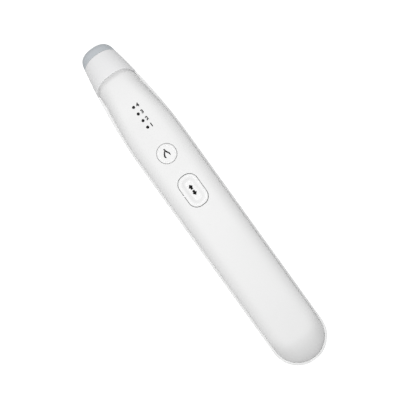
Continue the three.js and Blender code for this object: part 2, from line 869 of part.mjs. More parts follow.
add("front_window", makeWindow(), windowGlass, head);
add("window_heater", washer(windowRadius, 4.4, -1.45, -1.3, 24), flexAmber, head);
add("window_gasket", washer(windowRadius, 4.4, -1.95, -1.5, 24), sealRubber, head);
add("led_board", makeLedBoard(), darkPlastic, head);
for (let i = 0; i < headLedCount; i++) {
  const angle = (i / headLedCount) * 360 * degrees;
  const led = new THREE.BoxGeometry(1.4, 1.4, 0.6)
    .translate(headLedCircle, 0, -3.3)
    .rotateZ(angle);
  add(`head_led_${i + 1}`, solid(led), ledWhite, head);
}
add("lens_barrel", makeLensBarrel(), darkPlastic, head);
add("front_lens", makeFrontLens(), lensGlass, head);
add("rear_lens", makeRearLens(), lensGlass, head);
add("camera_holder", makeCameraHolder(), darkPlastic, head);
add("infrared_filter", block(3.4, 3.4, -6.65, -6.35), lensGlass, head);
add("image_sensor", block(4, 4, -7.5, -6.75), chipBlack, head);
add("sensor_board", block(7.4, 5.4, -8.3, -7.6), boardGreen, head);
add("sensor_flex", makeSensorFlex(), flexAmber);
wand.add(head);

export default wand;
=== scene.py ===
"""A wireless hand-held intraoral camera: a slim white wand with a slanted grey camera tip.

The outer form is one rule, WandForm.place(station, x, z). A station is a place along the wand, measured
on the parting line between cover and shell. The sections lean and bow forward towards the nose. Sizes in
the classes are in millimetres, and MM turns them into metres where a mesh is made.
"""

import json
import logging
import math
from dataclasses import dataclass
from enum import Enum
from typing import Callable, Iterable, Sequence

import bmesh
import bpy
from mathutils import Matrix, Vector


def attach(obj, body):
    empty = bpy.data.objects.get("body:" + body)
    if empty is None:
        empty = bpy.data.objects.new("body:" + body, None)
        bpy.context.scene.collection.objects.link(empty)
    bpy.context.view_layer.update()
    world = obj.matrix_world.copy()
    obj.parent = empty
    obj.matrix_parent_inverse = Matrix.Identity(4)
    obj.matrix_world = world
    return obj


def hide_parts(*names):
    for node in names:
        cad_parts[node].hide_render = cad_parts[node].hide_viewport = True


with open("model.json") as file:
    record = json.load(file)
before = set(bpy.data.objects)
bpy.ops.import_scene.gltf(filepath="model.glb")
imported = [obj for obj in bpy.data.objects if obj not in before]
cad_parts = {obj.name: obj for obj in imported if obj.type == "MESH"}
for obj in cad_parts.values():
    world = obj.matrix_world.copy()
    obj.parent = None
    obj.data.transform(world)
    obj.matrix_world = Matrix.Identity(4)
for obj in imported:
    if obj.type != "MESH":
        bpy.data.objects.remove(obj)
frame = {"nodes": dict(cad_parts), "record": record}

MM = 0.001
FULL_TURN = 2 * math.pi
QUARTER_TURN = math.pi / 2
SETTLE_STEPS = 12
PAST = 1.0001

log = logging.getLogger("wand")

Row = list[Vector]
Rows = list[Row]
Place = tuple[float, float]
Places = list[Place]
Colour = tuple[float, float, float]
Stroke = Sequence[tuple[float, float, float]]
Object = bpy.types.Object
Material = bpy.types.Material
Node = bpy.types.Node
Socket = bpy.types.NodeSocket
ShaderTree = bpy.types.ShaderNodeTree


class Body(Enum):
    """The rigid bodies that pieces ride on."""

    WAND = "wand"
    HEAT_KEY = "heat_key_body"
    LEVEL_KEY = "level_key_body"


# ------------------------------------------------------------------ plane geometry


def smooth_step(share: float) -> float:
    """An ease from 0 to 1, level outside both ends."""
    t = min(1.0, max(0.0, share))
    return t * t * (3 - 2 * t)


def arc_drop(distance: float, radius: float) -> float:
    """How far an arc has fallen at a distance past its start, with no drop before it."""
    return radius - math.sqrt(radius**2 - distance**2) if distance > 0 else 0.0


def spaced(start: float, end: float, steps: int) -> list[float]:
    """Places between two ends, both included, with this many even gaps."""
    return [start + (end - start) * i / steps for i in range(steps + 1)]


def circle(radius: float, sides: int, x: float = 0.0, y: float = 0.0) -> Places:
    """Places round a circle about (x, y), from +X."""
    turns = [FULL_TURN * i / sides for i in range(sides)]
    return [(x + radius * math.cos(t), y + radius * math.sin(t)) for t in turns]


def round_edge(size: float, steps: int) -> Places:
    """A quarter round of a size: how far each point stands in, and how far it has yet to go."""
    return [(size * (1 - math.cos(t)), size * (1 - math.sin(t))) for t in spaced(0, QUARTER_TURN, steps)]


def level_row(places: Iterable[Place], z: float) -> Row:
    """Places in plan at one height, as points in metres."""
    return [Vector((x, y, z)) * MM for x, y in places]


def moved(x: float = 0.0, y: float = 0.0, z: float = 0.0) -> Matrix:
    """A placement moved by millimetres."""
    return Matrix.Translation(Vector((x, y, z)) * MM)


def super_point(angle: float, width: float, height: float, power: float) -> Place:
    """The point of a super-ellipse in a direction.

    Args:
        angle: The direction, from +X towards +Z.
        width: Half the width.
        height: Half the height.
        power: How square it is, 2 for an ellipse.

    Returns:
        The point as (x, z).
    """
    if width < 1e-6 or height < 1e-6:
        return 0.0, 0.0
    c, s = abs(math.cos(angle)), abs(math.sin(angle))
    reach = ((c / width) ** power + (s / height) ** power) ** (-1 / power)
    return reach * math.cos(angle), reach * math.sin(angle)


def rounded(profile: Sequence[Place], radii: Sequence[float], steps: int = 5) -> Places:
    """A profile with its corners rounded.

    Args:
        profile: The corner points.
        radii: One radius for each point, 0 to keep a corner sharp.
        steps: The number of gaps round a corner.

    Returns:
        The points of the rounded profile.
    """
    points: Places = []
    for i, (corner, radius) in enumerate(zip(profile, radii)):
        if radius <= 0 or i in (0, len(profile) - 1):
            points.append(tuple(corner))
            continue
        here = Vector(corner)
        before = (Vector(profile[i - 1]) - here).normalized()
        after = (Vector(profile[i + 1]) - here).normalized()
        start, end = here + before * radius, here + after * radius
        for t in spaced(0, 1, steps):
            point = start * (1 - t) ** 2 + here * 2 * t * (1 - t) + end * t * t
            points.append((point.x, point.y))
    return points


def rounded_outline(width: float, length: float, corner: float, steps: int = 12) -> Places:
    """The outline of a rectangle with round corners.

    Args:
        width: The size across.
        length: The size along.
        corner: The corner radius.
        steps: The number of gaps round a corner.

    Returns:
        The points, turning anticlockwise from the +X side.
    """
    points: Places = []
    for quarter, (sx, sy) in enumerate(((1, 1), (-1, 1), (-1, -1), (1, -1))):
        for t in spaced(0, 1, steps):
            turn = (quarter + t) * QUARTER_TURN
            x = sx * (width / 2 - corner) + corner * math.cos(turn)
            y = sy * (length / 2 - corner) + corner * math.sin(turn)
            points.append((x, y))
    return points


def grown(outline: Sequence[Place], out: float) -> Places:
    """An anticlockwise outline moved outwards.

    Args:
        outline: The outline.
        out: How far it moves.

    Returns:
        The new outline.
    """
    points: Places = []
    for i, (x, y) in enumerate(outline):
        along = (Vector(outline[(i + 1) % len(outline)]) - Vector(outline[i - 1])).normalized()
        points.append((x + along.y * out, y - along.x * out))
    return points


# ------------------------------------------------------------------ the outer form


@dataclass(frozen=True)
class WandForm:
    """The rule of the wand's outer form, in millimetres."""

    half_width: float = 14.495
    tail_centre: float = -80.48
    taper_start: float = 33.0
    taper_radius: float = 285.0
    crown_height: float = 22.0
    crown_radius: float = 1700.0
    nose_droop_start: float = 60.0
    nose_droop_radius: float = 178.0
    parting_height: float = 11.5
    parting_droop_radius: float = 765.0
    keel_radius: float = 934.0
    keel_start: float = 30.0
    keel_trim: float = 0.15
    slant: float = math.tan(math.radians(25))
    bow: float = 0.012
    lean_start: float = 30.0
    lean_end: float = 74.0
    body_power: float = 20.0
    tail_power: float = 2.3
    nose_power: float = 2.4
    shoulder: float = 0.29
    tail_shoulder: float = 0.33
    shoulder_power: float = 5.5
    keel_power: float = 2.6
    keel_nose_power: float = 2.15
    tail_rise_power: float = 1.35
    tail_round_start: float = -73.0
    tail_round_length: float = 16.0
    square_start: float = 40.0
    square_end: float = 90.0
    widest_share: float = 0.999

    def lean(self, station: float) -> float:
        """The share of the full slant at a station."""
        return smooth_step((station - self.lean_start) / (self.lean_end - self.lean_start))

    def parting(self, station: float) -> float:
        """The height of the parting line at a station."""
        return self.parting_height - arc_drop(station - self.keel_start, self.parting_droop_radius)

    def tail_share(self, station: float, inset: float) -> float:
        """The share of full size left in the round tail, for a form inset from the outline."""
        past = max(0.0, self.tail_centre - station) / (self.half_width - inset)
        return math.sqrt(max(0.0, 1 - past**2))

    def width(self, station: float, inset: float = 0.0) -> float:
        """Half the width at a station, inset from the outline."""
        taper = arc_drop(station - self.taper_start, self.taper_radius)
        return (self.half_width - inset - taper) * self.tail_share(station, inset)

    def rise(self, station: float, inset: float = 0.0, less: float = 0.0) -> float:
        """The crown's height over the parting line.

        Args:
            station: The place along the wand.
            inset: How far the sides stand in from the outline.
            less: A wall or a step that the height loses.

        Returns:
            The height over the parting line.
        """
        fall = arc_drop(abs(station), self.crown_radius)
        fall += arc_drop(station - self.nose_droop_start, self.nose_droop_radius)
        full = self.crown_height - fall - self.parting(station) - less
        return full * self.tail_share(station, inset) ** self.tail_rise_power

    def drop(self, station: float, inset: float = 0.0) -> float:
        """The keel's depth under the parting line."""
        lift = arc_drop(station - self.keel_start, self.keel_radius)
        return (self.parting(station) - lift - inset) * self.tail_share(station, inset)

    def upper_shape(self, station: float) -> tuple[float, float]:
        """The shape of the upper half of a section.

        Args:
            station: The place along the wand.

        Returns:
            How square it is, and the share of its rise that the shoulders fall.
        """
        tail = smooth_step((self.tail_round_start - station) / self.tail_round_length)
        nose = smooth_step((station - self.square_start) / (self.square_end - self.square_start))
        inverse = (1 - tail - nose) / self.body_power + tail / self.tail_power + nose / self.nose_power
        fallen = self.shoulder * (1 - tail - nose) + self.tail_shoulder * tail
        return 1 / inverse, fallen

    def upper_share(self, station: float, share: float) -> float:
        """The share of the rise over a place across the section, 0 in the middle to 1 at the side."""
        power, fallen = self.upper_shape(station)
        return (1 - share**power) ** (1 / power) * (1 - fallen * share**self.shoulder_power)

    def lower_power(self, station: float) -> float:
        """How square the lower half of a section is."""
        return self.keel_power - (self.keel_power - self.keel_nose_power) * self.lean(station)

    def forward(self, station: float, x: float, z: float) -> float:
        """How far the lean and the bow move a point of a section along the wand."""
        return self.lean(station) * (self.slant * (z - self.parting(station)) - self.bow * x * x)

    def place(self, station: float, x: float, z: float) -> Vector:
        """A point of the form, in metres, from its station, x and height in millimetres."""
        return Vector((x, station + self.forward(station, x, z), z)) * MM

    def upper_arc(self, station: float, inset: float, less: float, steps: int) -> Places:
        """The upper half of a section from +X over the crown to -X.

        Args:
            station: The place along the wand.
            inset: How far the sides stand in from the outline.
            less: How far the crown stands below the full crown.
            steps: The number of gaps round the arc.

        Returns:
            The points as (x, z).
        """
        width, rise = self.width(station, inset), self.rise(station, inset, less)
        low, (power, fallen) = self.parting(station), self.upper_shape(station)
        points = [super_point(math.pi * t, width, rise, power) for t in spaced(0, 1, steps)]
        shares = [min(1.0, abs(x) / max(width, 1e-6)) ** self.shoulder_power for x, _ in points]
        return [(x, low + z * (1 - fallen * share)) for (x, z), share in zip(points, shares)]

    def lower_arc(self, station: float, inset: float, steps: int) -> Places:
        """The lower half of a section from -X under the keel to +X, with the flat keel strip.

        Args:
            station: The place along the wand.
            inset: How far the section stands in from the outline.
            steps: The number of gaps round the arc.

        Returns:
            The points as (x, z).
        """
        width, drop = self.width(station, inset), self.drop(station, inset)
        high, power = self.parting(station), self.lower_power(station)
        turns = spaced(math.pi, FULL_TURN, steps)
        points = [super_point(turn, width, drop + self.keel_trim, power) for turn in turns]
        return [(x, high + max(z, -drop)) for x, z in points]

    def height_over(self, x: float, y: float, surface: Callable[[float, float], float]) -> float:
        """The height of a surface over a place in plan, found by steps towards its station.

        Args:
            x: The place across the wand.
            y: The place along the wand.
            surface: The surface's height for a station and x.

        Returns:
            The height.
        """
        station, z = y, 0.0
        for _ in range(SETTLE_STEPS):
            z = surface(station, x)
            station = y - self.forward(station, x, z)
        return z

    def crown(self, x: float, y: float, less: float = 0.0, inset: float = 1.2) -> float:
        """The height of the cover's top over a place in plan.

        Args:
            x: The place across the wand.
            y: The place along the wand.
            less: How far the surface stands below the full crown.
            inset: How far its sides stand in from the outline.

        Returns:
            The height.
        """

        def surface(station: float, across: float) -> float:
            """The surface's height for a station and a place across."""
            share = min(self.widest_share, abs(across) / self.width(station, inset))
            return self.parting(station) + self.rise(station, inset, less) * self.upper_share(station, share)

        return self.height_over(x, y, surface)

    def keel_at(self, station: float, x: float) -> float:
        """The height of the keel's surface in a section.

        Args:
            station: The place along the wand.
            x: The place across the wand.

        Returns:
            The height.
        """
        power, drop = self.lower_power(station), self.drop(station)
        share = min(self.widest_share, abs(x) / self.width(station))
        return self.parting(station) - min((drop + self.keel_trim) * (1 - share**power) ** (1 / power), drop)

    def keel(self, x: float, y: float) -> float:
        """The height of the keel's surface over a place in plan."""
        return self.height_over(x, y, self.keel_at)

    def tail_stations(self, inset: float, steps: int = 26) -> list[float]:
        """Stations round the tail, from its end to its centre, for a form inset from the outline."""
        reach = self.half_width - inset
        return [self.tail_centre - reach * math.sin(turn) for turn in spaced(QUARTER_TURN, 0, steps)][:-1]


FORM = WandForm()


# ------------------------------------------------------------------ mesh helpers


def object_from(name: str, mesh: bmesh.types.BMesh, merge: float = 2e-6) -> Object:
    """Ends a bmesh as a linked object with merged seams and faces that point outwards.

    Args:
        name: The object's name.
        mesh: The bmesh, which is freed.
        merge: How near points merge, in metres.

    Returns:
        The new object.
    """
    bmesh.ops.remove_doubles(mesh, verts=mesh.verts, dist=merge)
    bmesh.ops.dissolve_degenerate(mesh, edges=mesh.edges, dist=merge / 4)
    bmesh.ops.recalc_face_normals(mesh, faces=mesh.faces)
    data = bpy.data.meshes.new(name)
    mesh.to_mesh(data)
    mesh.free()
    return linked(name, data)


def linked(name: str, data: bpy.types.ID) -> Object:
    """A new object in the scene.

    Args:
        name: The object's name.
        data: Its mesh, light, camera or text.

    Returns:
        The object.
    """
    made = bpy.data.objects.new(name, data)
    bpy.context.scene.collection.objects.link(made)
    return made


def join_rows(mesh: bmesh.types.BMesh, here: Sequence, there: Sequence, around: bool) -> None:
    """Fills the strip between two rows of vertices.

    Args:
        mesh: The bmesh.
        here: The first row.
        there: The second row, of equal length.
        around: Joins the rows' last points to their first.
    """
    for j in range(len(here) if around else len(here) - 1):
        k = (j + 1) % len(here)
        mesh.faces.new((here[j], here[k], there[k], there[j]))


def loft(name: str, rows: Rows, along: bool = False) -> Object:
    """Joins closed rows of points into a surface.

    Args:
        name: The object's name.
        rows: Rows of equal length.
        along: Joins the last row to the first, or closes both ends with a face where False.

    Returns:
        The new object.
    """
    mesh = bmesh.new()
    grid = [[mesh.verts.new(point) for point in row] for row in rows]
    for i in range(len(grid) if along else len(grid) - 1):
        join_rows(mesh, grid[i], grid[(i + 1) % len(grid)], True)
    for end in () if along else (grid[0], grid[-1]):
        if (end[0].co - end[len(end) // 2].co).length > 1e-7:
            mesh.faces.new(end)
    return object_from(name, mesh)


def walled(name: str, outer: Rows, inner: Rows) -> Object:
    """An open shell with a wall: an outer and an inner skin joined along both edges and across the end.

    Args:
        name: The object's name.
        outer: The outer skin's rows.
        inner: The inner skin's rows, with as many points.

    Returns:
        The new object.
    """
    mesh = bmesh.new()
    skins = [[[mesh.verts.new(point) for point in row] for row in rows] for rows in (outer, inner)]
    for skin in skins:
        for here, there in zip(skin, skin[1:]):
            join_rows(mesh, here, there, False)
    for side in (0, -1):
        join_rows(mesh, *([row[side] for row in skin] for skin in skins), False)
    join_rows(mesh, skins[0][-1], skins[1][-1], False)
    return object_from(name, mesh)


def turned(name: str, profile: Sequence[Place], placement: Matrix, sides: int = 48) -> Object:
    """A profile turned round the Z axis of a placement.

    Args:
        name: The object's name.
        profile: Points as (radius, height), from the axis back to the axis or to the start.
        placement: The placement, in metres.
        sides: The number of faces round it.

    Returns:
        The new object.
    """
    rows = [[placement @ point for point in level_row(circle(r, sides), height)] for r, height in profile]
    closed = profile[0] == profile[-1]
    return loft(name, rows[:-1] if closed else rows, along=closed)


def flared_cutter(
    name: str,
    outline: Sequence[Place],
    surface: Callable[[float, float], float],
    bottom: Callable[[float], float],
    edge: float,
    top: float,
    steps: int,
) -> Object:
    """A cutter that leaves a soft edge where it goes through a curved surface.

    Args:
        name: The cutter's name.
        outline: The hole's outline in plan.
        surface: The surface's height over a place.
        bottom: The height of the cutter's far end, from the surface's height.
        edge: The size of the soft edge.
        top: How far the cutter stands over the surface, below 0 for a cutter from below.
        steps: The number of gaps round the soft edge.

    Returns:
        The cutter.
    """
    side = math.copysign(1.0, top)
    levels = [(-side * edge, 0.0)] + [(-side * fall, out) for out, fall in round_edge(edge, steps)[1:]]
    rows = [[Vector((x, y, bottom(surface(x, y)))) * MM for x, y in outline]]
    for height, out in [*levels, (top, edge * PAST)]:
        rows.append([Vector((x, y, surface(x, y) + height)) * MM for x, y in grown(outline, out)])
    return loft(name, rows)


def cut(target: Object, tools: Iterable[Object], join: bool = False) -> None:
    """Cuts tools out of a target, or joins them to it, and removes the tools.

    Args:
        target: The object that is changed.
        tools: The closed objects.
        join: Joins in place of cutting.
    """
    for tool in tools:
        step = target.modifiers.new("cut", "BOOLEAN")
        step.operation = "UNION" if join else "DIFFERENCE"
        step.solver = "EXACT"
        step.object = tool
        apply_modifiers(target)
        bpy.data.objects.remove(tool)


def apply_modifiers(target: Object) -> None:
    """Turns an object's modifiers into plain mesh.

    Args:
        target: The object.
    """
    bpy.context.view_layer.update()
    graph = bpy.context.evaluated_depsgraph_get()
    made = bpy.data.meshes.new_from_object(target.evaluated_get(graph))
    old = target.data
    target.modifiers.clear()
    target.data = made
    bpy.data.meshes.remove(old)


def drape(target: Object, height: Callable[[float, float], float], pitch: float) -> None:
    """Lays a flat mark on a curved surface.

    Args:
        target: The mark, flat at z 0 with a thickness.
        height: The surface's height over (x, y).
        pitch: How close the cuts lie that let it bend.
    """
    mesh = bmesh.new()
    mesh.from_mesh(target.data)
    for axis in (Vector((1, 0, 0)), Vector((0, 1, 0))):
        places = [vertex.co @ axis for vertex in mesh.verts]
        low, high = min(places), max(places)
        for place in spaced(low, high, max(1, int((high - low) / (pitch * MM))))[1:-1]:
            parts = mesh.verts[:] + mesh.edges[:] + mesh.faces[:]
            bmesh.ops.bisect_plane(mesh, geom=parts, plane_co=axis * place, plane_no=axis)
    for vertex in mesh.verts:
        vertex.co.z += height(vertex.co.x / MM, vertex.co.y / MM) * MM
    bmesh.ops.recalc_face_normals(mesh, faces=mesh.faces)
    mesh.to_mesh(target.data)
    mesh.free()


def smooth_line(points: Sequence[Vector], steps: int) -> list[Vector]:
    """A smooth line through points.

    Args:
        points: The points.
        steps: The number of gaps between two points.

    Returns:
        The line's points.
    """
    fine: list[Vector] = []
    last = len(points) - 1
    for i in range(last):
        p0, p1, p2, p3 = points[max(0, i - 1)], points[i], points[i + 1], points[min(last, i + 2)]
        for t in spaced(0, 1, steps)[: None if i == last - 1 else -1]:
            a, b = (p2 - p0) * 0.5, (p3 - p1) * 0.5
            h = (2 * t**3 - 3 * t**2 + 1, t**3 - 2 * t**2 + t, -2 * t**3 + 3 * t**2, t**3 - t**2)
            fine.append(p1 * h[0] + a * h[1] + p2 * h[2] + b * h[3])
    return fine


def stroke_mesh(name: str, strokes: Sequence[Stroke], thick: float = 0.02) -> Object:
    """A flat mark made of smooth strokes whose width changes.

    Args:
        name: The mark's name.
        strokes: Points of each stroke as (x, y, half width).
        thick: Half the mark's thickness.

    Returns:
        The mark, about z 0.
    """
    mesh = bmesh.new()
    for stroke in strokes:
        fine = smooth_line([Vector(point) for point in stroke], 8)
        sections = []
        for i, point in enumerate(fine):
            along = (fine[min(i + 1, len(fine) - 1)] - fine[max(i - 1, 0)]).xy.normalized()
            side = Vector((-along.y, along.x)) * max(0.02, point.z)
            corners = [(side, -thick), (side, thick), (-side, thick), (-side, -thick)]
            ring = [Vector((point.x + s.x, point.y + s.y, z)) * MM for s, z in corners]
            sections.append([mesh.verts.new(corner) for corner in ring])
        for here, there in zip(sections, sections[1:]):
            join_rows(mesh, here, there, True)
        mesh.faces.new(sections[0])
        mesh.faces.new(sections[-1])
    return object_from(name, mesh, 1e-9)


def flat_prism(name: str, outlines: Sequence[Sequence[Place]], thick: float = 0.02) -> Object:
    """A flat mark made of filled outlines.

    Args:
        name: The mark's name.
        outlines: The outlines.
        thick: Half the mark's thickness.

    Returns:
        The mark, about z 0.
    """
    mesh = bmesh.new()
    for outline in outlines:
        low, high = ([mesh.verts.new(point) for point in level_row(outline, z)] for z in (-thick, thick))
        mesh.faces.new(low)
        mesh.faces.new(high)
        join_rows(mesh, low, high, True)
    mesh.normal_update()
    bmesh.ops.triangulate(mesh, faces=mesh.faces)
    return object_from(name, mesh, 1e-9)


def finish_piece(
    piece: Object, body: Body, material: Material, slot: str, nodes: Sequence[str] = (), crease: float = 34.0
) -> None:
    """Dresses a piece, smooths it and puts it on its body.

    Args:
        piece: The finished mesh object.
        body: The body that it rides on.
        material: Its finish.
        slot: The record's material slot; it is not used.
        nodes: The CAD nodes that it stands for.
        crease: Edges sharper than this many degrees stay sharp.
    """
    piece.data.materials.clear()
    piece.data.materials.append(material)
    piece.data.shade_smooth()
    piece.data.set_sharp_from_angle(angle=math.radians(crease))
    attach(piece, body.value)
    if nodes:
        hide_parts(*nodes)
    faces = len(piece.data.polygons)
    log.info("%s: %d faces on %s, for %s", piece.name, faces, body.value, nodes or "itself")


# ------------------------------------------------------------------ shader effects


class Effect(Enum):
    """The shared surface effects, each built once as a shader node group."""

    GRAIN = "moulded grain"
    HANDLING = "handling marks"
    BRUSHED = "brushed lines"
    EDGE = "edge polish"


class NodeSheet:
    """A short way to add and join nodes in a tree."""

    def __init__(self, tree: bpy.types.NodeTree) -> None:
        """Keeps the tree that nodes are added to."""
        self.tree = tree

    def feed(self, node: Node, inputs: dict[str | int, object]) -> None:
        """Sets or joins a node's inputs.

        Args:
            node: The node.
            inputs: Values or output sockets, by input name or index.
        """
        for key, value in inputs.items():
            if isinstance(value, Socket):
                self.tree.links.new(value, node.inputs[key])
            else:
                node.inputs[key].default_value = value

    def add(self, kind: str, inputs: dict[str | int, object] | None = None, **settings: object) -> Node:
        """Adds a node.

        Args:
            kind: The node's type name.
            inputs: Values or output sockets, by input name or index.
            **settings: Attributes of the node.

        Returns:
            The new node.
        """
        node = self.tree.nodes.new(kind)
        for key, value in settings.items():
            setattr(node, key, value)
        self.feed(node, inputs or {})
        return node

    def maths(
        self, operation: str, a: object, b: object = 0.0, c: object = 0.0, clamp: bool = False
    ) -> Socket:
        """Adds a maths node for up to three values or sockets and gives its output."""
        return self.add("ShaderNodeMath", {0: a, 1: b, 2: c}, operation=operation, use_clamp=clamp).outputs[0]

    def spread(self, value: object, low: float, high: float, to_low: float, to_high: float) -> Socket:
        """Maps a value from one range to another, cut at the ends."""
        sockets = {"Value": value, "From Min": low, "From Max": high, "To Min": to_low, "To Max": to_high}
        return self.add("ShaderNodeMapRange", sockets).outputs["Result"]

    def mix(self, share: object, first: object, second: object) -> Socket:
        """Mixes two colours or colour sockets by the share of the second."""
        a, b = ((*colour, 1.0) if isinstance(colour, tuple) else colour for colour in (first, second))
        return self.add("ShaderNodeMix", {0: share, 6: a, 7: b}, data_type="RGBA").outputs[2]

    def where(self) -> Socket:
        """The place on the object."""
        return self.add("ShaderNodeTexCoord").outputs["Object"]

    def noise(self, where: Socket, scale: object, detail: float, **more: float) -> Socket:
        """The value of a noise texture."""
        inputs = {"Vector": where, "Scale": scale, "Detail": detail, **more}
        return self.add("ShaderNodeTexNoise", inputs).outputs["Fac"]

    def bump(self, height: Socket, strength: float, distance: float) -> Socket:
        """The normal of a bumpy surface, with the bumps' depth in metres."""
        inputs = {"Strength": strength, "Distance": distance, "Height": height}
        return self.add("ShaderNodeBump", inputs).outputs[0]

    def effect(self, effect: Effect, **inputs: float) -> bpy.types.NodeOutputs:
        """Places a shared effect with its own values and gives its outputs."""
        return self.add("ShaderNodeGroup", dict(inputs), node_tree=EFFECTS.get(effect)).outputs


class EffectLibrary:
    """Builds each shared effect on first use."""

    def __init__(self) -> None:
        """Starts with no groups."""
        self.groups: dict[Effect, ShaderTree] = {}

    def get(self, effect: Effect) -> ShaderTree:
        """Gives an effect's group, and builds it if it is new.

        Args:
            effect: The effect.

        Returns:
            The group.
        """
        if effect not in self.groups:
            makers = {
                Effect.GRAIN: self._grain,
                Effect.HANDLING: self._handling,
                Effect.BRUSHED: self._brushed,
                Effect.EDGE: self._edge,
            }
            self.groups[effect] = makers[effect](effect.value)
        return self.groups[effect]

    @staticmethod
    def _start(name: str, inputs: dict[str, float], outputs: Sequence[str]) -> tuple[NodeSheet, Node, Node]:
        """Starts a group with float sockets.

        Args:
            name: The group's name.
            inputs: Default values by input name.
            outputs: The output names.

        Returns:
            The sheet, the input node and the output node.
        """
        tree = bpy.data.node_groups.new(name, "ShaderNodeTree")
        for socket, value in inputs.items():
            made = tree.interface.new_socket(socket, in_out="INPUT", socket_type="NodeSocketFloat")
            made.default_value = value
        for socket in outputs:
            tree.interface.new_socket(socket, in_out="OUTPUT", socket_type="NodeSocketFloat")
        sheet = NodeSheet(tree)
        return sheet, sheet.add("NodeGroupInput"), sheet.add("NodeGroupOutput")

    def _grain(self, name: str) -> ShaderTree:
        """Fine spark-eroded mould texture over a slow flow waviness.

        Args:
            name: The group's name.

        Returns:
            The group, which gives Height and Shade.
        """
        sheet, given, result = self._start(name, {"Scale": 2600.0, "Waviness": 0.25}, ("Height", "Shade"))
        where, scale = sheet.where(), given.outputs["Scale"]
        fine = sheet.noise(where, scale, 3.0, Roughness=0.6)
        pits = sheet.add("ShaderNodeTexVoronoi", {"Vector": where, "Scale": scale, "Randomness": 1.0})
        bumps = sheet.maths("MULTIPLY_ADD", pits.outputs["Distance"], 0.5, fine)
        wave = sheet.maths("MULTIPLY", sheet.noise(where, 55.0, 2.0), given.outputs["Waviness"])
        shade = sheet.spread(fine, 0.25, 0.75, 0.0, 1.0)
        sheet.feed(result, {"Height": sheet.maths("ADD", bumps, wave), "Shade": shade})
        return sheet.tree

    def _handling(self, name: str) -> ShaderTree:
        """Faint finger smears and a few hairline rubs.

        Args:
            name: The group's name.

        Returns:
            The group, which gives the masks Smear and Rub.
        """
        sheet, given, result = self._start(name, {"Amount": 0.5}, ("Smear", "Rub"))
        where, amount = sheet.where(), given.outputs["Amount"]
        smear = sheet.spread(sheet.noise(where, 38.0, 5.0, Distortion=0.8), 0.48, 0.72, 0.0, 1.0)
        across = {"Vector": where, "Rotation": (0.3, 0.1, 0.7), "Scale": (40.0, 900.0, 40.0)}
        lines = sheet.noise(sheet.add("ShaderNodeMapping", across).outputs[0], 1.0, 2.0)
        rub = sheet.spread(lines, 0.69, 0.76, 0.0, 1.0)
        masks = {"Smear": smear, "Rub": rub}
        sheet.feed(result, {key: sheet.maths("MULTIPLY", mask, amount) for key, mask in masks.items()})
        return sheet.tree

    def _brushed(self, name: str) -> ShaderTree:
        """Long fine lines along Y, as a drawn or brushed metal has.

        Args:
            name: The group's name.

        Returns:
            The group, which gives Height and Streak.
        """
        sheet, given, result = self._start(name, {"Scale": 3000.0}, ("Height", "Streak"))
        stretched = sheet.add("ShaderNodeMapping", {"Vector": sheet.where(), "Scale": (1.0, 0.03, 1.0)})
        lines = sheet.noise(stretched.outputs[0], given.outputs["Scale"], 4.0)
        sheet.feed(result, {"Height": lines, "Streak": sheet.spread(lines, 0.3, 0.7, 0.0, 1.0)})
        return sheet.tree

    def _edge(self, name: str) -> ShaderTree:
        """Where hands polish an edge: sharp outer bends, broken up by noise.

        Args:
            name: The group's name.

        Returns:
            The group, which gives Mask.
        """
        sheet, given, result = self._start(name, {"Amount": 1.0}, ("Mask",))
        bend = sheet.add("ShaderNodeNewGeometry").outputs["Pointiness"]
        patch = sheet.spread(sheet.noise(sheet.where(), 160.0, 3.0), 0.35, 0.6, 0.2, 1.0)
        broken = sheet.maths("MULTIPLY", sheet.spread(bend, 0.53, 0.62, 0.0, 1.0), patch)
        sheet.feed(result, {"Mask": sheet.maths("MULTIPLY", broken, given.outputs["Amount"])})
        return sheet.tree


EFFECTS = EffectLibrary()


# ------------------------------------------------------------------ finishes


@dataclass(frozen=True)
class Finish:
    """What every finish has: a name and a way to make its material."""

    name: str

    def build(self) -> Material:
        """Makes the material with a Principled shader.

        Returns:
            The material.
        """
        material = bpy.data.materials.new(self.name)
        material.use_nodes = True
        sheet = NodeSheet(material.node_tree)
        shader = next(node for node in material.node_tree.nodes if node.type == "BSDF_PRINCIPLED")
        sheet.feed(shader, self.looks(sheet))
        return material

    def looks(self, sheet: NodeSheet) -> dict[str, object]:
        """What the shader's inputs get. Each finish says how."""
        raise NotImplementedError


@dataclass(frozen=True)
class MouldedPlastic(Finish):
    """Injection moulded plastic with a fine texture, faint smears and polished edges."""

    colour: Colour = (0.7, 0.7, 0.7)
    roughness: float = 0.36
    grain_scale: float = 2600.0
    grain_depth: float = 0.12
    tone: float = 0.02
    marks: float = 0.4
    sheen_edges: float = 0.5
    gloss: float = 0.5

    def looks(self, sheet: NodeSheet) -> dict[str, object]:
        """The plastic's shader inputs.

        Args:
            sheet: The material's sheet.

        Returns:
            Values and sockets by input name.
        """
        grain = sheet.effect(Effect.GRAIN, Scale=self.grain_scale)
        marks = sheet.effect(Effect.HANDLING, Amount=self.marks)
        edge = sheet.effect(Effect.EDGE, Amount=self.sheen_edges)
        dark = tuple(c * (1 - self.tone) for c in self.colour)
        light = tuple(min(1.0, c * (1 + self.tone)) for c in self.colour)
        toned = sheet.mix(grain["Shade"], dark, light)
        rough = sheet.spread(marks["Smear"], 0.0, 1.0, self.roughness, self.roughness + 0.1)
        rough = sheet.maths("SUBTRACT", rough, sheet.maths("MULTIPLY", edge["Mask"], 0.1))
        rough = sheet.maths("ADD", rough, sheet.maths("MULTIPLY", marks["Rub"], 0.08), clamp=True)
        return {
            "Base Color": sheet.mix(sheet.maths("MULTIPLY", marks["Smear"], 0.25), toned, dark),
            "Roughness": rough,
            "Normal": sheet.bump(grain["Height"], self.grain_depth, 0.00004),
            "IOR": 1.49,
            "Specular IOR Level": self.gloss,
        }


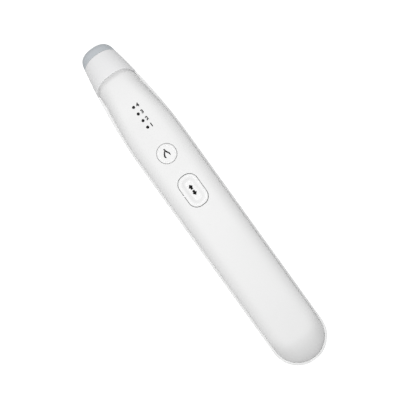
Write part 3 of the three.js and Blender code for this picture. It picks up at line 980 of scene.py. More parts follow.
@dataclass(frozen=True)
class SoftRubber(Finish):
    """Soft rubber: matt, dusty and slightly pebbled."""

    colour: Colour = (0.05, 0.05, 0.05)
    roughness: float = 0.75

    def looks(self, sheet: NodeSheet) -> dict[str, object]:
        """The rubber's shader inputs.

        Args:
            sheet: The material's sheet.

        Returns:
            Values and sockets by input name.
        """
        grain = sheet.effect(Effect.GRAIN, Scale=1500.0, Waviness=0.4)
        marks = sheet.effect(Effect.HANDLING, Amount=0.8)
        dusty = tuple(min(1.0, c + 0.06) for c in self.colour)
        low, high = self.roughness - 0.08, self.roughness + 0.08
        return {
            "Base Color": sheet.mix(marks["Smear"], self.colour, dusty),
            "Roughness": sheet.spread(grain["Shade"], 0.0, 1.0, low, high),
            "Normal": sheet.bump(grain["Height"], 0.35, 0.00006),
        }


@dataclass(frozen=True)
class DrawnMetal(Finish):
    """Plain metal with fine lines and brighter edges."""

    colour: Colour = (0.6, 0.6, 0.62)
    roughness: float = 0.28
    line_scale: float = 3000.0

    def looks(self, sheet: NodeSheet) -> dict[str, object]:
        """The metal's shader inputs.

        Args:
            sheet: The material's sheet.

        Returns:
            Values and sockets by input name.
        """
        lines = sheet.effect(Effect.BRUSHED, Scale=self.line_scale)
        edge = sheet.effect(Effect.EDGE, Amount=1.0)
        worn = tuple(min(1.0, c * 1.25) for c in self.colour)
        dark = tuple(c * 0.86 for c in self.colour)
        low, high = self.roughness - 0.06, self.roughness + 0.08
        return {
            "Base Color": sheet.mix(edge["Mask"], sheet.mix(lines["Streak"], dark, self.colour), worn),
            "Roughness": sheet.spread(lines["Streak"], 0.0, 1.0, low, high),
            "Normal": sheet.bump(lines["Height"], 0.2, 0.00002),
            "Metallic": 1.0,
        }


@dataclass(frozen=True)
class CircuitBoard(Finish):
    """A board under solder mask: faint tracks, gold pads and a woven base that shows through."""

    mask: Colour = (0.015, 0.11, 0.05)
    copper: Colour = (0.05, 0.2, 0.09)
    pad: Colour = (0.75, 0.55, 0.22)

    def looks(self, sheet: NodeSheet) -> dict[str, object]:
        """The board's shader inputs.

        Args:
            sheet: The material's sheet.

        Returns:
            Values and sockets by input name.
        """
        where = sheet.where()
        sizes = {"Scale": 420.0, "Mortar Size": 0.03, "Brick Width": 1.7, "Row Height": 0.35}
        tracks = sheet.add("ShaderNodeTexBrick", {"Vector": where, **sizes}).outputs["Fac"]
        squares = {"feature": "F1", "distance": "CHEBYCHEV"}
        cells = sheet.add("ShaderNodeTexVoronoi", {"Vector": where, "Scale": 520.0}, **squares)
        pads = sheet.spread(cells.outputs["Distance"], 0.16, 0.14, 0.0, 1.0)
        grain = sheet.effect(Effect.GRAIN, Scale=1800.0)
        height = sheet.maths("ADD", sheet.maths("MULTIPLY", tracks, 0.5), grain["Height"])
        return {
            "Base Color": sheet.mix(pads, sheet.mix(tracks, self.mask, self.copper), self.pad),
            "Roughness": sheet.spread(pads, 0.0, 1.0, 0.42, 0.36),
            "Normal": sheet.bump(height, 0.3, 0.00003),
            "Metallic": sheet.maths("MULTIPLY", pads, 0.5),
        }


@dataclass(frozen=True)
class CoatedGlass(Finish):
    """Clear optical glass with a faint coloured coating."""

    tint: Colour = (0.93, 0.97, 1.0)
    coating: Colour = (0.72, 0.78, 1.0)
    roughness: float = 0.02

    def looks(self, sheet: NodeSheet) -> dict[str, object]:
        """The glass's shader inputs.

        Args:
            sheet: The material's sheet.

        Returns:
            Values and sockets by input name.
        """
        marks = sheet.effect(Effect.HANDLING, Amount=0.5)
        facing = sheet.add("ShaderNodeLayerWeight", {"Blend": 0.4}).outputs["Facing"]
        return {
            "Base Color": sheet.mix(facing, self.tint, self.coating),
            "Roughness": sheet.spread(marks["Smear"], 0.0, 1.0, self.roughness, self.roughness + 0.05),
            "Transmission Weight": 1.0,
            "IOR": 1.5,
        }


@dataclass(frozen=True)
class LampPhosphor(Finish):
    """A small light: yellow phosphor under clear resin."""

    colour: Colour = (0.88, 0.78, 0.3)
    rim: Colour = (0.9, 0.9, 0.86)

    def looks(self, sheet: NodeSheet) -> dict[str, object]:
        """The lamp's shader inputs.

        Args:
            sheet: The material's sheet.

        Returns:
            Values and sockets by input name.
        """
        grain = sheet.effect(Effect.GRAIN, Scale=4200.0)
        marks = sheet.effect(Effect.HANDLING, Amount=1.0)
        return {
            "Base Color": sheet.mix(marks["Smear"], self.colour, self.rim),
            "Roughness": sheet.spread(grain["Shade"], 0.0, 1.0, 0.2, 0.34),
            "Coat Weight": 0.6,
        }


@dataclass(frozen=True)
class PrintedInk(Finish):
    """Pad-printed ink: thin, matt and slightly uneven."""

    colour: Colour = (0.004, 0.004, 0.0042)
    thin: Colour = (0.02, 0.02, 0.021)

    def looks(self, sheet: NodeSheet) -> dict[str, object]:
        """The ink's shader inputs.

        Args:
            sheet: The material's sheet.

        Returns:
            Values and sockets by input name.
        """
        grain = sheet.effect(Effect.GRAIN, Scale=5200.0)
        cover = sheet.spread(grain["Shade"], 0.7, 1.0, 0.0, 0.7)
        return {
            "Base Color": sheet.mix(cover, self.colour, self.thin),
            "Roughness": sheet.spread(grain["Shade"], 0.0, 1.0, 0.55, 0.7),
            "Normal": sheet.bump(grain["Height"], 0.15, 0.00002),
            "Specular IOR Level": 0.08,
        }


@dataclass(frozen=True)
class PalePaper(Finish):
    """The floor's pale paper, which shines a little so that the ground is even."""

    dark: Colour = (0.15, 0.15, 0.15)
    light: Colour = (0.17, 0.17, 0.17)
    glow: float = 0.99

    def looks(self, sheet: NodeSheet) -> dict[str, object]:
        """The paper's shader inputs.

        Args:
            sheet: The material's sheet.

        Returns:
            Values and sockets by input name.
        """
        return {
            "Base Color": sheet.mix(sheet.noise(sheet.where(), 300.0, 3.0), self.dark, self.light),
            "Roughness": 0.9,
            "Specular IOR Level": 0.1,
            "Emission Color": (1.0, 1.0, 1.0, 1.0),
            "Emission Strength": self.glow,
        }


# ------------------------------------------------------------------ patterns made by geometry nodes


class PatternTree:
    """A geometry node tree with named inputs that repeats one object and ends as a plain mesh."""

    def __init__(self, name: str) -> None:
        """Starts the tree with this name.

        Args:
            name: The name of the tree and of its piece.
        """
        self.name = name
        self.tree = bpy.data.node_groups.new(name, "GeometryNodeTree")
        self.sheet = NodeSheet(self.tree)
        self.values: dict[str, object] = {}
        self.tree.interface.new_socket("Geometry", in_out="OUTPUT", socket_type="NodeSocketGeometry")
        self.given = self.tree.nodes.new("NodeGroupInput")

    def size(self, name: str, value: object, kind: str = "NodeSocketFloat") -> Socket:
        """Adds a named input.

        Args:
            name: The input's name.
            value: The value that the modifier gets.
            kind: The socket type.

        Returns:
            The input's socket inside the tree.
        """
        made = self.tree.interface.new_socket(name, in_out="INPUT", socket_type=kind)
        self.values[made.identifier] = value
        return self.given.outputs[name]

    def build(self, source: Object, inputs: dict[str, Socket], material: Material) -> Object:
        """Ends the tree, runs it, keeps the result as a plain mesh and removes the pattern piece.

        Args:
            source: The pattern piece, made at the origin.
            inputs: The points and, where the copies turn, their rotation.
            material: The material that Set Material gives.

        Returns:
            The piece.
        """
        info = self.sheet.add("GeometryNodeObjectInfo", {"Object": source})
        inputs = {**inputs, "Instance": info.outputs["Geometry"]}
        copies = self.sheet.add("GeometryNodeInstanceOnPoints", inputs)
        real = self.sheet.add("GeometryNodeRealizeInstances", {0: copies.outputs[0]})
        inputs = {"Geometry": real.outputs[0], "Material": material}
        dressed = self.sheet.add("GeometryNodeSetMaterial", inputs)
        self.sheet.add("NodeGroupOutput", {0: dressed.outputs[0]})
        holder = linked(self.name, bpy.data.meshes.new(self.name))
        modifier = holder.modifiers.new("pattern", "NODES")
        modifier.node_group = self.tree
        for identifier, value in self.values.items():
            modifier[identifier] = value
        apply_modifiers(holder)
        mesh = bmesh.new()
        mesh.from_mesh(holder.data)
        bmesh.ops.recalc_face_normals(mesh, faces=mesh.faces)
        mesh.to_mesh(holder.data)
        mesh.free()
        bpy.data.objects.remove(source)
        return holder


def repeat_on_line(
    name: str, source: Object, count: int, start: Vector, pitch: Vector, material: Material
) -> Object:
    """Repeats an object along a line with geometry nodes.

    Args:
        name: The new piece's name.
        source: The pattern piece, made at the origin.
        count: How many there are.
        start: The first place, in metres.
        pitch: The step between two, in metres.
        material: Their material.

    Returns:
        One plain mesh.
    """
    tree = PatternTree(name)
    inputs = {
        "Count": tree.size("Count", count, "NodeSocketInt"),
        "Start Location": tree.size("Start", start, "NodeSocketVector"),
        "Offset": tree.size("Pitch", pitch, "NodeSocketVector"),
    }
    line = tree.sheet.add("GeometryNodeMeshLine", inputs, mode="OFFSET")
    return tree.build(source, {"Points": line.outputs[0]}, material)


def repeat_on_ring(name: str, source: Object, count: int, radius: float, material: Material) -> Object:
    """Repeats an object round a circle with geometry nodes, each copy turned with the circle.

    Args:
        name: The new piece's name.
        source: The pattern piece, made at the origin.
        count: How many there are.
        radius: The circle's radius, in metres.
        material: Their material.

    Returns:
        One plain mesh.
    """
    tree = PatternTree(name)
    inputs = {"Vertices": tree.size("Count", count, "NodeSocketInt"), "Radius": tree.size("Radius", radius)}
    ring = tree.sheet.add("GeometryNodeMeshCircle", inputs)
    where = tree.sheet.add("GeometryNodeInputPosition").outputs[0]
    turn = tree.sheet.add("FunctionNodeAlignRotationToVector", {"Vector": where}, axis="X", pivot_axis="Z")
    return tree.build(source, {"Points": ring.outputs[0], "Rotation": turn.outputs[0]}, material)


# ------------------------------------------------------------------ housing


@dataclass
class Housing:
    """The white cover and shell, with the joint between them."""

    white: Material
    nose_seam: float = 74.7
    seam_gap: float = 0.1
    lip: float = 1.15
    joint_gap: float = 0.035
    lip_swell: float = 0.6
    lip_swell_start: float = 42.0
    lip_taper: float = 0.7
    lip_taper_start: float = 66.0
    lip_soft: float = 0.38
    shell_wall: float = 2.1
    cover_wall: float = 1.6
    cover_foot: float = 1.5
    ledge: float = 2.3
    front_round_length: float = 2.8
    front_round_depth: float = 1.35
    front_round_power: float = 1.25
    front_side_share: float = 0.3
    heat_hole: float = 5.17
    level_hole: tuple[float, float, float] = (10.9, 17.6, 4.78)
    light_hole: float = 0.78
    key_edge: float = 0.16
    light_edge: float = 0.06
    cutter_depth: float = 4.0
    cutter_top: float = 1.5
    arc_steps: int = 132
    key_centres: Place = (30.8, 8.5)
    light_places: Sequence[float] = (46.9, 50.9, 54.9, 58.9)

    @property
    def end(self) -> float:
        """The station where cover and shell end."""
        return self.nose_seam - self.seam_gap / 2

    def lip_loss(self, station: float) -> float:
        """How much narrower the lip is: it swells where the wand tapers, then runs out.

        Args:
            station: The place along the wand.

        Returns:
            The loss, below 0 where the lip is wider.
        """
        swell = smooth_step((station - self.lip_swell_start) / (self.lip_taper_start - self.lip_swell_start))
        taper = smooth_step((station - self.lip_taper_start) / (self.end - self.lip_taper_start))
        return self.lip_taper * taper - self.lip_swell * swell

    @staticmethod
    def body_stations(end: float) -> list[float]:
        """Stations from the tail's centre to an end, closer together where the form bends."""
        return spaced(FORM.tail_centre, FORM.keel_start, 44)[:-1] + spaced(FORM.keel_start, end, 40)

    def cover_rows(self, inset: float, less: float, rounding: bool) -> Rows:
        """Rows of one of the cover's skins.

        Args:
            inset: How far the skin stands in from the outline.
            less: How far it stands below the crown.
            rounding: Rounds the front edge over.

        Returns:
            The rows.
        """
        start = self.end - self.front_round_length
        stations = FORM.tail_stations(inset) + self.body_stations(start) + spaced(start, self.end, 12)[1:]
        rows: Rows = []
        for station in stations:
            share = max(0.0, (station - start) / self.front_round_length)
            off = self.front_round_depth * share**self.front_round_power if rounding else 0.0
            side = inset - self.lip_loss(station) + off * self.front_side_share
            arc = FORM.upper_arc(station, side, less + off, self.arc_steps)
            low = FORM.parting(station) - self.cover_foot
            points = [(arc[0][0], low), *arc, (arc[-1][0], low)]
            rows.append([FORM.place(station, x, z) for x, z in points])
        return rows

    def hole(self, name: str, outline: Sequence[Place], y: float, edge: float) -> Object:
        """A cutter for a soft-edged hole in the crowned cover.

        Args:
            name: The cutter's name.
            outline: Places round the hole, about its centre.
            y: The hole's place along the wand.
            edge: The size of the soft edge.

        Returns:
            The cutter.
        """
        placed = [(x, y + along) for x, along in outline]
        depth = self.cutter_depth
        return flared_cutter(name, placed, FORM.crown, lambda z: z - depth, edge, self.cutter_top, 5)

    def build_cover(self) -> None:
        """Makes the cover with its key and light holes."""
        inset = self.lip + self.joint_gap
        outer = self.cover_rows(inset, 0.0, True)
        inner = self.cover_rows(inset + self.cover_wall, self.cover_wall, False)
        cover = walled("cover", outer, inner)
        heat_y, level_y = self.key_centres
        tools = [self.hole("heat_hole", circle(self.heat_hole, 72), heat_y, self.key_edge)]
        tools.append(self.hole("level_hole", rounded_outline(*self.level_hole), level_y, self.key_edge))
        dot = circle(self.light_hole, 24)
        tools += [self.hole("light_hole", dot, place, self.light_edge) for place in self.light_places]
        cut(cover, tools)
        finish_piece(cover, Body.WAND, self.white, "shell_white", ["top_cover"])

    def outer_section(self, station: float, lip_station: float, lip_width: float) -> Row:
        """One row of the shell's outside: keel, softened lip and the lip's inner edge.

        Args:
            station: The section's station.
            lip_station: The station of the lip's inner edge, which differs round the tail.
            lip_width: Half the width between the lip's inner edges.

        Returns:
            The points from -X under the keel to +X.
        """
        part, width, soft = FORM.parting(station), FORM.width(station), self.lip_soft
        share = min(1.0, width / 3)
        arc = [(x, min(z, part - soft)) for x, z in FORM.lower_arc(station, 0.0, self.arc_steps)]
        lip = [(width - share * out, part - fall) for out, fall in round_edge(soft, 6)]
        section = [(-x, z) for x, z in reversed(lip)] + arc + lip
        high = FORM.parting(lip_station)
        left, right = (FORM.place(lip_station, side * lip_width, high) for side in (-1, 1))
        return [left, *(FORM.place(station, x, z) for x, z in section), right]

    def inner_section(self, station: float, lip_station: float, lip_width: float, count: int) -> Row:
        """One row of the shell's inside: the ledge's edge and the inner wall.

        Args:
            station: The section's station.
            lip_station: The station of the lip's inner edge.
            lip_width: Half the width between the lip's inner edges.
            count: The number of points.

        Returns:
            The points from -X under the keel to +X.
        """
        floor, wall = FORM.parting(station) - self.ledge, FORM.width(station, self.shell_wall)
        arc = FORM.lower_arc(station, self.shell_wall, count - 3)
        inside = [FORM.place(station, max(-wall, min(wall, x)), min(z, floor)) for x, z in arc]
        low = FORM.parting(lip_station) - self.ledge
        left, right = (FORM.place(lip_station, side * lip_width, low) for side in (-1, 1))
        return [left, *inside, right]

    def build_shell(self, underside: "Underside") -> None:
        """Makes the shell, and cuts the screw recesses and contact seats.

        Args:
            underside: Where the recesses and seats lie.
        """
        body = self.body_stations(self.end)
        skins = [FORM.tail_stations(inset) + body for inset in (0.0, self.lip, self.shell_wall)]
        outer: Rows = []
        inner: Rows = []
        for station, lip_station, wall_station in zip(*skins):
            lip_width = FORM.width(lip_station, self.lip - self.lip_loss(lip_station))
            lip_width = min(lip_width, FORM.width(station))
            outer.append(self.outer_section(station, lip_station, lip_width))
            inner.append(self.inner_section(wall_station, lip_station, lip_width, len(outer[-1])))
        shell = walled("shell", outer, inner)
        cut(shell, underside.cutters())
        finish_piece(shell, Body.WAND, self.white, "shell_white", ["lower_shell"])


@dataclass
class Underside:
    """What shows on the keel: soft plugs over the screws and gold charging contacts."""

    rubber: Material
    gold: Material
    front_screws: Place = (7.0, 64.0)
    rear_screws: Place = (8.6, -77.0)
    recess: float = 2.1
    recess_top: float = 4.8
    recess_edge: float = 0.15
    plug: float = 1.98
    plug_top: float = 3.7
    contact_x: float = 3.4
    contact_y: float = -77.0
    contact_radius: float = 1.5
    contact_gap: float = 0.12
    contact_seat: float = 0.9
    contact_edge: float = 0.1

    @property
    def screws(self) -> Places:
        """The places of the four screws."""
        return [(side * x, y) for x, y in (self.front_screws, self.rear_screws) for side in (-1, 1)]

    def keel_cutter(self, name: str, place: Place, radius: float, depth: float, edge: float) -> Object:
        """A round cutter from below that leaves a soft edge on the keel."""
        return flared_cutter(name, circle(radius, 48, *place), FORM.keel, lambda _: depth, edge, -2.0, 4)

    def cutters(self) -> list[Object]:
        """The cutters for the shell: four screw recesses and two contact seats.

        Returns:
            The cutters.
        """
        recess = (self.recess, self.recess_top, self.recess_edge)
        made = [self.keel_cutter("recess", place, *recess) for place in self.screws]
        seat = (self.contact_radius + self.contact_gap, self.contact_seat, self.contact_edge)
        contacts = [(side * self.contact_x, self.contact_y) for side in (-1, 1)]
        return made + [self.keel_cutter("seat", place, *seat) for place in contacts]

    def plug_mesh(self, name: str, x: float, y: float) -> Object:
        """A soft plug whose face follows the keel a little below it, with a dimple to lift it by.

        Args:
            name: The plug's name.
            x: Its place across the wand.
            y: Its place along the wand.

        Returns:
            The plug.
        """
        rim = self.plug
        profile = [(0.0, 0.42), (0.25, 0.4), (0.42, 0.2), (0.6, 0.1), (1.2, 0.07), (rim - 0.22, 0.07)]
        profile += [(rim - 0.06, 0.14), (rim, 0.3)]
        rows = [
            [Vector((px, py, FORM.keel(px, py) + height)) * MM for px, py in circle(radius, 40, x, y)]
            for radius, height in profile
        ]
        rows += [level_row(circle(radius, 40, x, y), self.plug_top) for radius in (rim, 0.0)]
        return loft(name, rows)

    def build(self) -> None:
        """Makes the plugs and the contacts."""
        for i, place in enumerate(self.screws, 1):
            plug = self.plug_mesh(f"plug_{i}", *place)
            finish_piece(plug, Body.WAND, self.rubber, "seal_rubber", [f"screw_plug_{i}"])
        rim = self.contact_radius
        profile = [(0, 0.1), (0.9, 0.1), (rim, 0.1), (rim, 0.8), (0.6, 0.8), (0.6, 3.2), (0, 3.2)]
        pad = turned("pad", rounded(profile, [0, 0, 0.12, 0.05, 0, 0, 0]), Matrix.Identity(4), 40)
        start = Vector((-self.contact_x, self.contact_y, 0)) * MM
        pitch = Vector((2 * self.contact_x, 0, 0)) * MM
        contacts = repeat_on_line("contacts", pad, 2, start, pitch, self.gold)
        finish_piece(contacts, Body.WAND, self.gold, "gold", ["charge_contact_1", "charge_contact_2"])


# ------------------------------------------------------------------ nose


@dataclass
class HeadAxis:
    """The camera's own axis, square to the slanted front face; its depths run back from the face."""

    front_face: float = 92.43
    cover_step: float = 0.9
    lower: float = 0.5

    def matrix(self) -> Matrix:
        """The placement of the axis.

        Returns:
            The placement, in metres.
        """
        rise = FORM.rise(self.front_face, 0.0, self.cover_step)
        height = FORM.parting(self.front_face) + (rise - FORM.drop(self.front_face)) / 2 - self.lower
        turn = Matrix.Rotation(-(QUARTER_TURN + math.atan(FORM.slant)), 4, "X")
        return Matrix.Translation(FORM.place(self.front_face, 0, height)) @ turn

    def ring(self, radius: float, depth: float, count: int) -> Row:
        """A circle round the axis at a depth, turning from +X over the top, as a section does."""
        at = self.matrix()
        return [at @ point for point in level_row([(x, -y) for x, y in circle(radius, count)], depth)]


@dataclass
class Nose:
    """The full round sleeve and the grey ring at its end."""

    sleeve_white: Material
    grey: Material
    axis: HeadAxis
    sleeve_start: float = 74.75
    ring_seam: float = 87.65
    seam_half: float = 0.05
    soft: float = 0.15
    wall: float = 1.8
    spigot: float = 3.4
    ring_tail: float = 2.8
    front_round: float = 2.6
    front_round_share: float = 0.6
    window_seat: float = 4.75
    around: int = 160

    def section(self, station: float, inset: float) -> Row:
        """A full section of the nose.

        Args:
            station: The place along the wand.
            inset: How far it stands in from the outline.

        Returns:
            The points, turning from +X over the crown.
        """
        half = self.around // 2
        above = FORM.upper_arc(station, inset, self.axis.cover_step + inset, half)
        below = FORM.lower_arc(station, inset, half)
        return [FORM.place(station, x, z) for x, z in above + below[1:-1]]

    def build_sleeve(self) -> None:
        """Makes the sleeve with softened ends and its spigot."""
        start, end, soft = self.sleeve_start, self.ring_seam - self.seam_half, self.soft
        edge = round_edge(soft, 4)
        sections = [(start, 3.5), (start - self.spigot, 3.5), (start - self.spigot, 4.7), (start + 0.9, 4.7)]
        sections += [(station, self.wall) for station in (start + 3, *spaced(start + 5, end, 6))]
        sections += [(end - out, fall) for out, fall in edge]
        sections += [(station, 0.0) for station in reversed(spaced(start + soft, end - soft, 30)[1:-1])]
        sections += [(start + fall, out) for out, fall in edge]
        sleeve = loft("sleeve", [self.section(*place) for place in sections], along=True)
        finish_piece(sleeve, Body.WAND, self.sleeve_white, "sleeve_white", ["nose_sleeve"])

    def build_ring(self) -> None:
        """Makes the grey ring, from its seam over the rounded front edge to the window seat."""
        start, seat, depth = self.ring_seam + self.seam_half, self.window_seat, self.front_round
        body_end = self.axis.front_face - depth
        sections = [(start - self.ring_tail, 2.9), (start - self.ring_tail, 2.1), (start, 2.1)]
        sections += [(start + out, fall) for out, fall in round_edge(self.soft, 4)]
        sections += [(station, 0.0) for station in spaced(start + self.soft, body_end, 6)[1:]]
        for t in spaced(0, QUARTER_TURN, 14)[1:]:
            inset = self.front_round_share * depth * (1 - math.cos(t))
            sections.append((body_end + depth * math.sin(t), inset))
        circles = [(seat + 0.15, -0.03), (seat + 0.06, -0.06), (seat, -0.15), (seat, -2.0)]
        circles += [(seat - 0.85, -2.0), (seat - 0.85, -2.7), (seat + 0.2, -2.7), (seat + 0.2, -3.6)]
        rows = [self.section(*place) for place in sections]
        rows += [self.axis.ring(*place, self.around) for place in circles]
        finish_piece(loft("ring", rows, along=True), Body.WAND, self.grey, "tip_grey", ["tip_ring"])


@dataclass
class CameraHead:
    """The window, and the lights and lens behind it."""

    axis: HeadAxis
    glass: Material
    black: Material
    phosphor: Material
    window: float = 4.6
    window_back: float = -1.2
    window_front: float = -0.3
    led_half: float = 0.7
    led_back: float = -3.6
    led_circle: float = 3.3
    led_count: int = 6

    def turned_piece(
        self, name: str, profile: Sequence[Place], sides: int, look: tuple[Material, str], node: str
    ) -> None:
        """Makes a piece that is turned round the camera's axis.

        Args:
            name: The piece's name.
            profile: Points as (radius, depth).
            sides: The number of faces round it.
            look: Its material and slot.
            node: The CAD node that it stands for.
        """
        finish_piece(turned(name, profile, self.axis.matrix(), sides), Body.WAND, *look, [node])

    def build(self) -> None:
        """Makes the window, the lights, the barrel and both lenses."""
        glass, black = (self.glass, "glass"), (self.black, "dark_plastic")
        back, front, rim = self.window_back, self.window_front, self.window
        window = rounded([(0, back), (rim, back), (rim, front), (0, front)], [0, 0.18, 0.18, 0], 4)
        self.turned_piece("window", window, 72, glass, "front_window")
        self.build_leds()
        corners = [(1.1, -6.2), (1.1, -3.0), (1.6, -3.0), (1.6, -2.45)]
        corners += [(1.75, -2.3), (2.0, -2.3), (2.0, -6.2)]
        barrel = rounded([*corners, corners[0]], [0, 0, 0, 0, 0.05, 0.12, 0.1, 0], 3)
        self.turned_piece("barrel", barrel, 64, black, "lens_barrel")
        lens = [(0, -2.95), (1.5, -2.95), (1.5, -2.7)]
        lens += [(1.5 * math.cos(t), -2.7 + 0.3 * math.sin(t)) for t in spaced(0.1, QUARTER_TURN, 10)[:-1]]
        self.turned_piece("lens_front", [*lens, (0, -2.4)], 48, glass, "front_lens")
        rear = [(math.sin(t), -4.8 - 0.5 * math.cos(t)) for t in spaced(0, math.pi, 16)]
        rear[0], rear[-1] = (0, rear[0][1]), (0, rear[-1][1])
        self.turned_piece("lens_rear", rear, 40, glass, "rear_lens")

    def build_leds(self) -> None:
        """Makes the ring of lights, each a case round a square of phosphor."""
        half = self.led_half
        corners = [(-half, -half), (half, -half), (half, half), (-half, half)]
        levels = ((0.0, 0.0), (0.0, 0.52), (0.06, 0.6), (0.22, 0.6), (0.3, 0.5), (0.3, 0.42))
        rows: Rows = []
        for inset, height in levels:
            share = 1 - inset / half
            rows.append(level_row([(x * share, y * share) for x, y in corners], height + self.led_back))
        case = loft("led_case", rows)
        cases = repeat_on_ring("led_cases", case, self.led_count, self.led_circle * MM, self.phosphor)
        cases.data.transform(self.axis.matrix())
        nodes = [f"head_led_{i + 1}" for i in range(self.led_count)]
        finish_piece(cases, Body.WAND, self.phosphor, "led_white", nodes)


# ------------------------------------------------------------------ keys and lights


@dataclass
class HeatKey:
    """The round key with its flame-like mark."""

    white: Material
    ink: Material
    y: float = 30.8
    radius: float = 5.0
    soft: float = 0.42
    rim: float = 1.0
    dish_depth: float = 0.28
    proud: float = 0.3
    flange: float = 5.9
    flange_low: float = 18.8
    flange_high: float = 19.8
    stem: float = 1.5
    stem_low: float = 16.45

    def surface(self, x: float, y: float) -> float:
        """The height of the dished key top over a place.

        Args:
            x: The place across the wand.
            y: The place along the wand.

        Returns:
            The height.
        """
        inner = self.radius - self.rim
        share = min(1.0, max(0.0, (inner - math.hypot(x, y - self.y)) / inner))
        return FORM.crown(0, self.y) + self.proud - self.dish_depth * smooth_step(share)

    def build(self) -> None:
        """Makes the key and its mark."""
        top, rim = FORM.crown(0, self.y) + self.proud, self.radius
        profile = [(0, self.stem_low), (self.stem, self.stem_low), (self.stem, self.flange_low)]
        profile += [(self.flange, self.flange_low), (self.flange, self.flange_high), (rim, self.flange_high)]
        profile += [(rim - out, top - fall) for out, fall in round_edge(self.soft, 8)]
        profile += [(distance, self.surface(distance, self.y)) for distance in spaced(rim - 0.6, 0, 26)]
        key = turned("round_key", profile, moved(y=self.y), 96)
        finish_piece(key, Body.HEAT_KEY, self.white, "key_white", ["heat_key"])
        self.build_mark()

    def build_mark(self) -> None:
        """Makes the flame-like mark from two tapered strokes."""
        right = [(0.1, 2.7, 0.3), (0.15, 1.8, 0.34), (0.5, 0.8, 0.36)]
        right += [(0.95, 0.0, 0.35), (1.2, -0.8, 0.32), (1.05, -1.55, 0.14)]
        left = [(0.0, 1.8, 0.14), (-0.42, 1.25, 0.31), (-0.98, 0.55, 0.36)]
        left += [(-1.45, -0.2, 0.38), (-1.6, -1.0, 0.36), (-1.3, -1.75, 0.14)]
        mark = stroke_mesh("flame_mark", [right, left])
        mark.data.transform(moved(y=self.y))
        drape(mark, self.surface, 0.3)
        finish_piece(mark, Body.HEAT_KEY, self.ink, "smoked")


@dataclass
class LevelKey:
    """The oblong two-way key with an arrow for each way."""

    white: Material
    ink: Material
    y: float = 8.5
    width: float = 10.56
    length: float = 17.12
    corner: float = 4.6
    soft: float = 0.4
    proud: float = 0.35
    low: float = 19.4
    pivot: float = 18.0
    hub: float = 1.7
    hub_half: float = 4.5
    bore: float = 0.85
    reach: float = 5.5
    stem: float = 1.1
    stem_low: float = 16.45
    stem_high: float = 19.6
    dish_depth: float = 0.55
    arrow_shift: float = 0.3

    def surface(self, x: float, y: float) -> float:
        """The height of the key's dished top: steep from the round ends, gentle from the sides.

        Args:
            x: The place across the wand.
            y: The place along the wand.

        Returns:
            The height.
        """
        inset = self.inset_at(x, y)
        end = smooth_step((abs(y - self.y) - 1.0) / 4.0)
        steep, gentle = smooth_step((inset - 1.4) / 2.2), smooth_step((inset - 0.6) / 3.7)
        return self.top - self.dish_depth * (end * steep + (1 - end) * gentle)

    @property
    def top(self) -> float:
        """The height of the key's rim."""
        return FORM.crown(0, self.y) + self.proud

    def inset_at(self, x: float, y: float) -> float:
        """How far a place on the key lies inside its outline.

        Args:
            x: The place across the wand.
            y: The place along the wand.

        Returns:
            The distance.
        """
        across = abs(x) - (self.width / 2 - self.corner)
        along = abs(y - self.y) - (self.length / 2 - self.corner)
        outside = math.hypot(max(across, 0), max(along, 0)) + min(max(across, along), 0)
        return self.corner - outside

    def ring(self, inset: float) -> Places:
        """Places round the key, inset from its outline."""
        size = (self.width - 2 * inset, self.length - 2 * inset, self.corner - inset)
        return [(x, self.y + y) for x, y in rounded_outline(*size, 14)]

    def build(self) -> None:
        """Makes the key with its hub and stems, and the arrows."""
        top = self.top
        edge = [(out, top - fall) for out, fall in round_edge(self.soft, 7)]
        rows = [level_row(self.ring(inset), z) for inset, z in [(0.0, self.low), *edge]]
        for inset in spaced(0.6, 4.5, 26):
            rows.append([Vector((x, y, self.surface(x, y))) * MM for x, y in self.ring(inset)])
        key = loft("oblong_key", rows)
        across = moved(0, self.y, self.pivot) @ Matrix.Rotation(QUARTER_TURN, 4, "Y")
        half, radius = self.hub_half, self.hub
        hub = turned("hub", [(0, -half), (radius, -half), (radius, half), (0, half)], across, 40)
        corners = [(sx * half, self.y + sy * radius) for sx, sy in ((-1, -1), (1, -1), (1, 1), (-1, 1))]
        web = loft("web", [level_row(corners, z) for z in (self.pivot, self.low + 0.2)])
        low, high = self.stem_low, self.stem_high
        profile = [(0, low), (self.stem, low), (self.stem, high), (0, high)]
        stems = [turned("stem", profile, moved(y=self.y + side * self.reach), 32) for side in (-1, 1)]
        cut(key, [web, hub, *stems], join=True)
        cut(key, [turned("bore", [(0, -6), (self.bore, -6), (self.bore, 6), (0, 6)], across, 32)])
        finish_piece(key, Body.LEVEL_KEY, self.white, "key_white", ["level_key"])
        self.build_arrows()

    def build_arrows(self) -> None:
        """Makes the two small arrows, back to back."""
        tip, shoulder, stem, foot, half, thin = 3.05, 1.72, 1.4, 0.28, 1.14, 0.62
        side = [(thin, foot), (thin, stem), (half, stem), (half, shoulder)]
        arrow = [*side, (0, tip), *((-x, y) for x, y in reversed(side))]
        marks = flat_prism("arrow_marks", [arrow, [(-x, -y) for x, y in arrow]])
        marks.data.transform(moved(y=self.y + self.arrow_shift))
        drape(marks, self.surface, 0.4)
        finish_piece(marks, Body.LEVEL_KEY, self.ink, "smoked")


